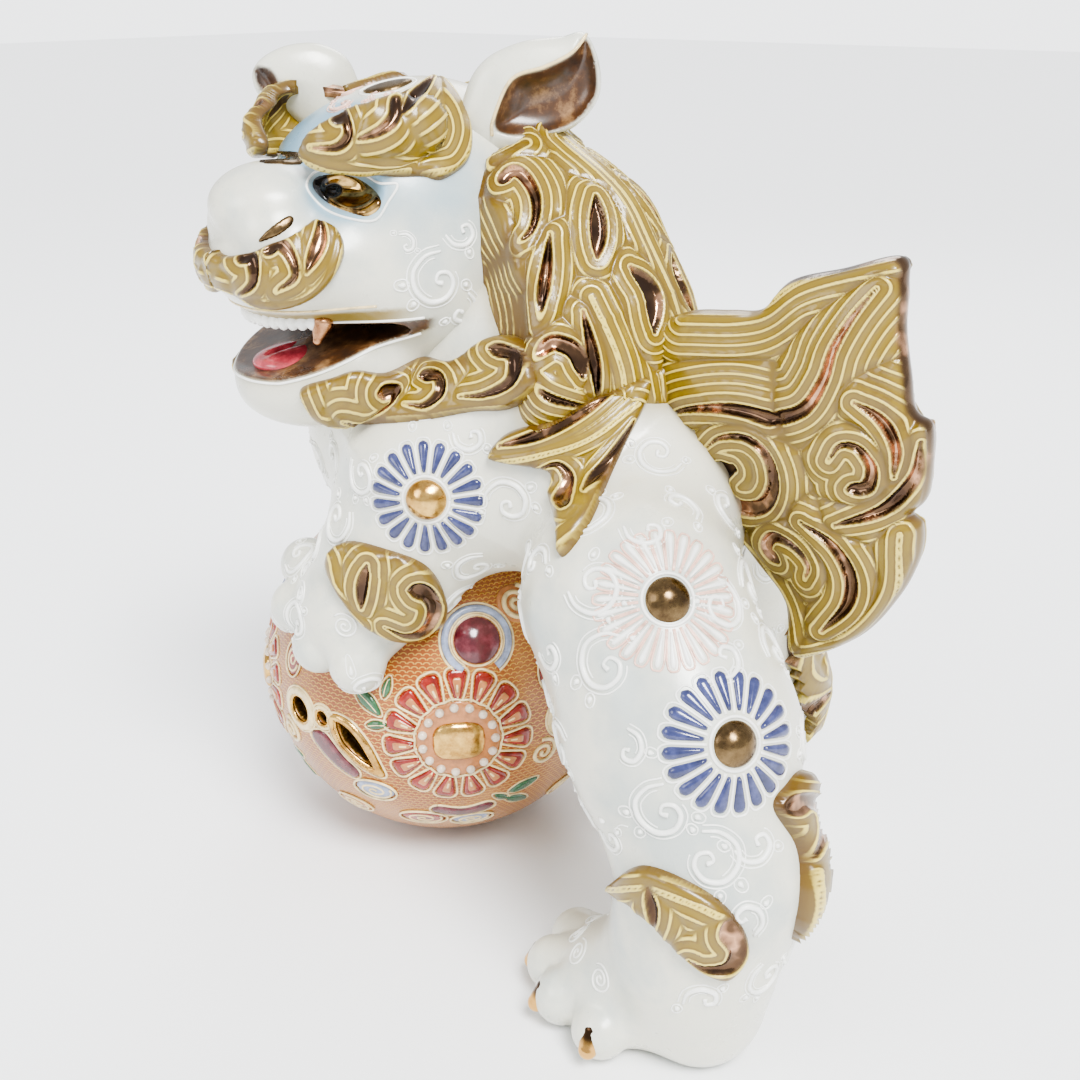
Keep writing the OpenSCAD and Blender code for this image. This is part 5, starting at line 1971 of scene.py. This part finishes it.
CHEEK_MARKS = [((25, 44, -4), "big", 1.0, 30, 1, 0), ((15, 47, -16), "short", 0.85, 60, -1, 2),
               ((16, 47, 8), "short", 0.8, 20, 1, 1), ((33, 42, 7), "short", 0.5, 110, -1, 0)]
FOREHEAD_MARKS = [((30, -2, 46), "short", 0.7, 20), ((20, 10, 50), "big", 0.6, 60),
                  ((20, -12, 50), "short", 0.7, -30)]


def head_scrolls():
    """Slip scrolls on both cheeks and pink squiggles on the forehead."""
    lines = []
    for (forward, side, up), kind, scale, turn, hand, which in CHEEK_MARKS:
        for flip in (1, -1):
            lines += scroll_lines(head_facing((forward, side * flip, up)), head, kind, scale,
                                  turn * flip, hand * flip, which)
    tubes("cheek_scrolls", lines, SLIP, [], "white_glaze", 6)
    squiggles = []
    for spot, kind, scale, turn in FOREHEAD_MARKS:
        squiggles += scroll_lines(head_facing(spot), head, kind, scale, turn, 1, 0)
    tubes("forehead_squiggles", squiggles, PINK_ENAMEL, [], "pink_enamel", 6)


skin_verts, skin_normals = body_pieces()
tail_piece()
mane_piece()
lock_pieces()
head_pieces()
face_hair()
eyes()
face_marks()
ears()
mouth_pieces()
flowers()
tufts()
claws()
ball_pieces()
scrolls(skin_verts, skin_normals)
toe_spirals()
head_scrolls()


# ---- stage ----

VIEW_AROUND = 127.0
VIEW_DOWN = 22.0
LENS = 46.7
CAMERA_FROM_BALL = vec(362, 318, 240)
SKY = (0.97, 0.98, 1.0, 1)
SUN_AROUND = math.radians(148)
# Name, place, width and power of each soft lamp
LAMPS = [("key", (0.35, 0.75, 1.15), 0.5, 5.0), ("fill", (1.0, -0.35, 0.7), 0.6, 4.0),
         ("back", (-0.8, -0.4, 0.9), 0.6, 4.0)]


def stage():
    """The camera, the pale floor, the room and the lamps."""
    around, down = math.radians(VIEW_AROUND), math.radians(VIEW_DOWN)
    eye = bpy.data.cameras.new("camera")
    eye.lens = LENS
    eye.sensor_width = 36.0
    eye.clip_start = 0.01
    camera = bpy.data.objects.new("camera", eye)
    bpy.context.scene.collection.objects.link(camera)
    camera.location = Vector((BALL + CAMERA_FROM_BALL + SHIFT) * MM)
    look = Vector((-math.sin(around) * math.cos(down), math.cos(around) * math.cos(down), -math.sin(down)))
    camera.rotation_euler = look.to_track_quat("-Z", "Y").to_euler()
    bpy.context.scene.camera = camera

    size = 6.0
    floor_mesh = bpy.data.meshes.new("floor")
    floor_mesh.from_pydata([(-size, -size, 0), (size, -size, 0), (size, size, 0), (-size, size, 0)], [],
                           [(0, 1, 2, 3)])
    floor = bpy.data.objects.new("floor", floor_mesh)
    pale, _, _ = shader("floor", (0.93, 0.94, 0.95), 0.7)
    floor_mesh.materials.append(pale)
    bpy.context.scene.collection.objects.link(floor)

    world = bpy.data.worlds.new("studio")
    world.use_nodes = True
    tree = world.node_tree
    room = tree.nodes["Background"]
    room.inputs["Color"].default_value = SKY
    room.inputs["Strength"].default_value = 0.9
    backdrop = tree.nodes.new("ShaderNodeBackground")
    backdrop.inputs["Color"].default_value = SKY
    backdrop.inputs["Strength"].default_value = 2.2
    path = tree.nodes.new("ShaderNodeLightPath")
    either = tree.nodes.new("ShaderNodeMixShader")
    tree.links.new(path.outputs["Is Camera Ray"], either.inputs[0])
    tree.links.new(room.outputs[0], either.inputs[1])
    tree.links.new(backdrop.outputs[0], either.inputs[2])
    tree.links.new(either.outputs[0], tree.nodes["World Output"].inputs["Surface"])
    bpy.context.scene.world = world
    bpy.context.scene.view_settings.look = "AgX - Medium High Contrast"

    sun = bpy.data.lights.new("sun", "SUN")
    sun.energy = 4.6
    sun.angle = math.radians(24)
    lamp = bpy.data.objects.new("sun", sun)
    toward = Vector((-math.sin(SUN_AROUND) * 0.62, math.cos(SUN_AROUND) * 0.62, -0.80))
    lamp.rotation_euler = toward.to_track_quat("-Z", "Y").to_euler()
    bpy.context.scene.collection.objects.link(lamp)

    for name, place, width, power in LAMPS:
        light = bpy.data.lights.new(name, "AREA")
        light.shape = "DISK"
        light.size = width
        light.energy = power
        lamp = bpy.data.objects.new(name, light)
        lamp.location = place
        lamp.rotation_euler = (Vector((0, 0, 0.14)) - Vector(place)).to_track_quat("-Z", "Y").to_euler()
        bpy.context.scene.collection.objects.link(lamp)


stage()
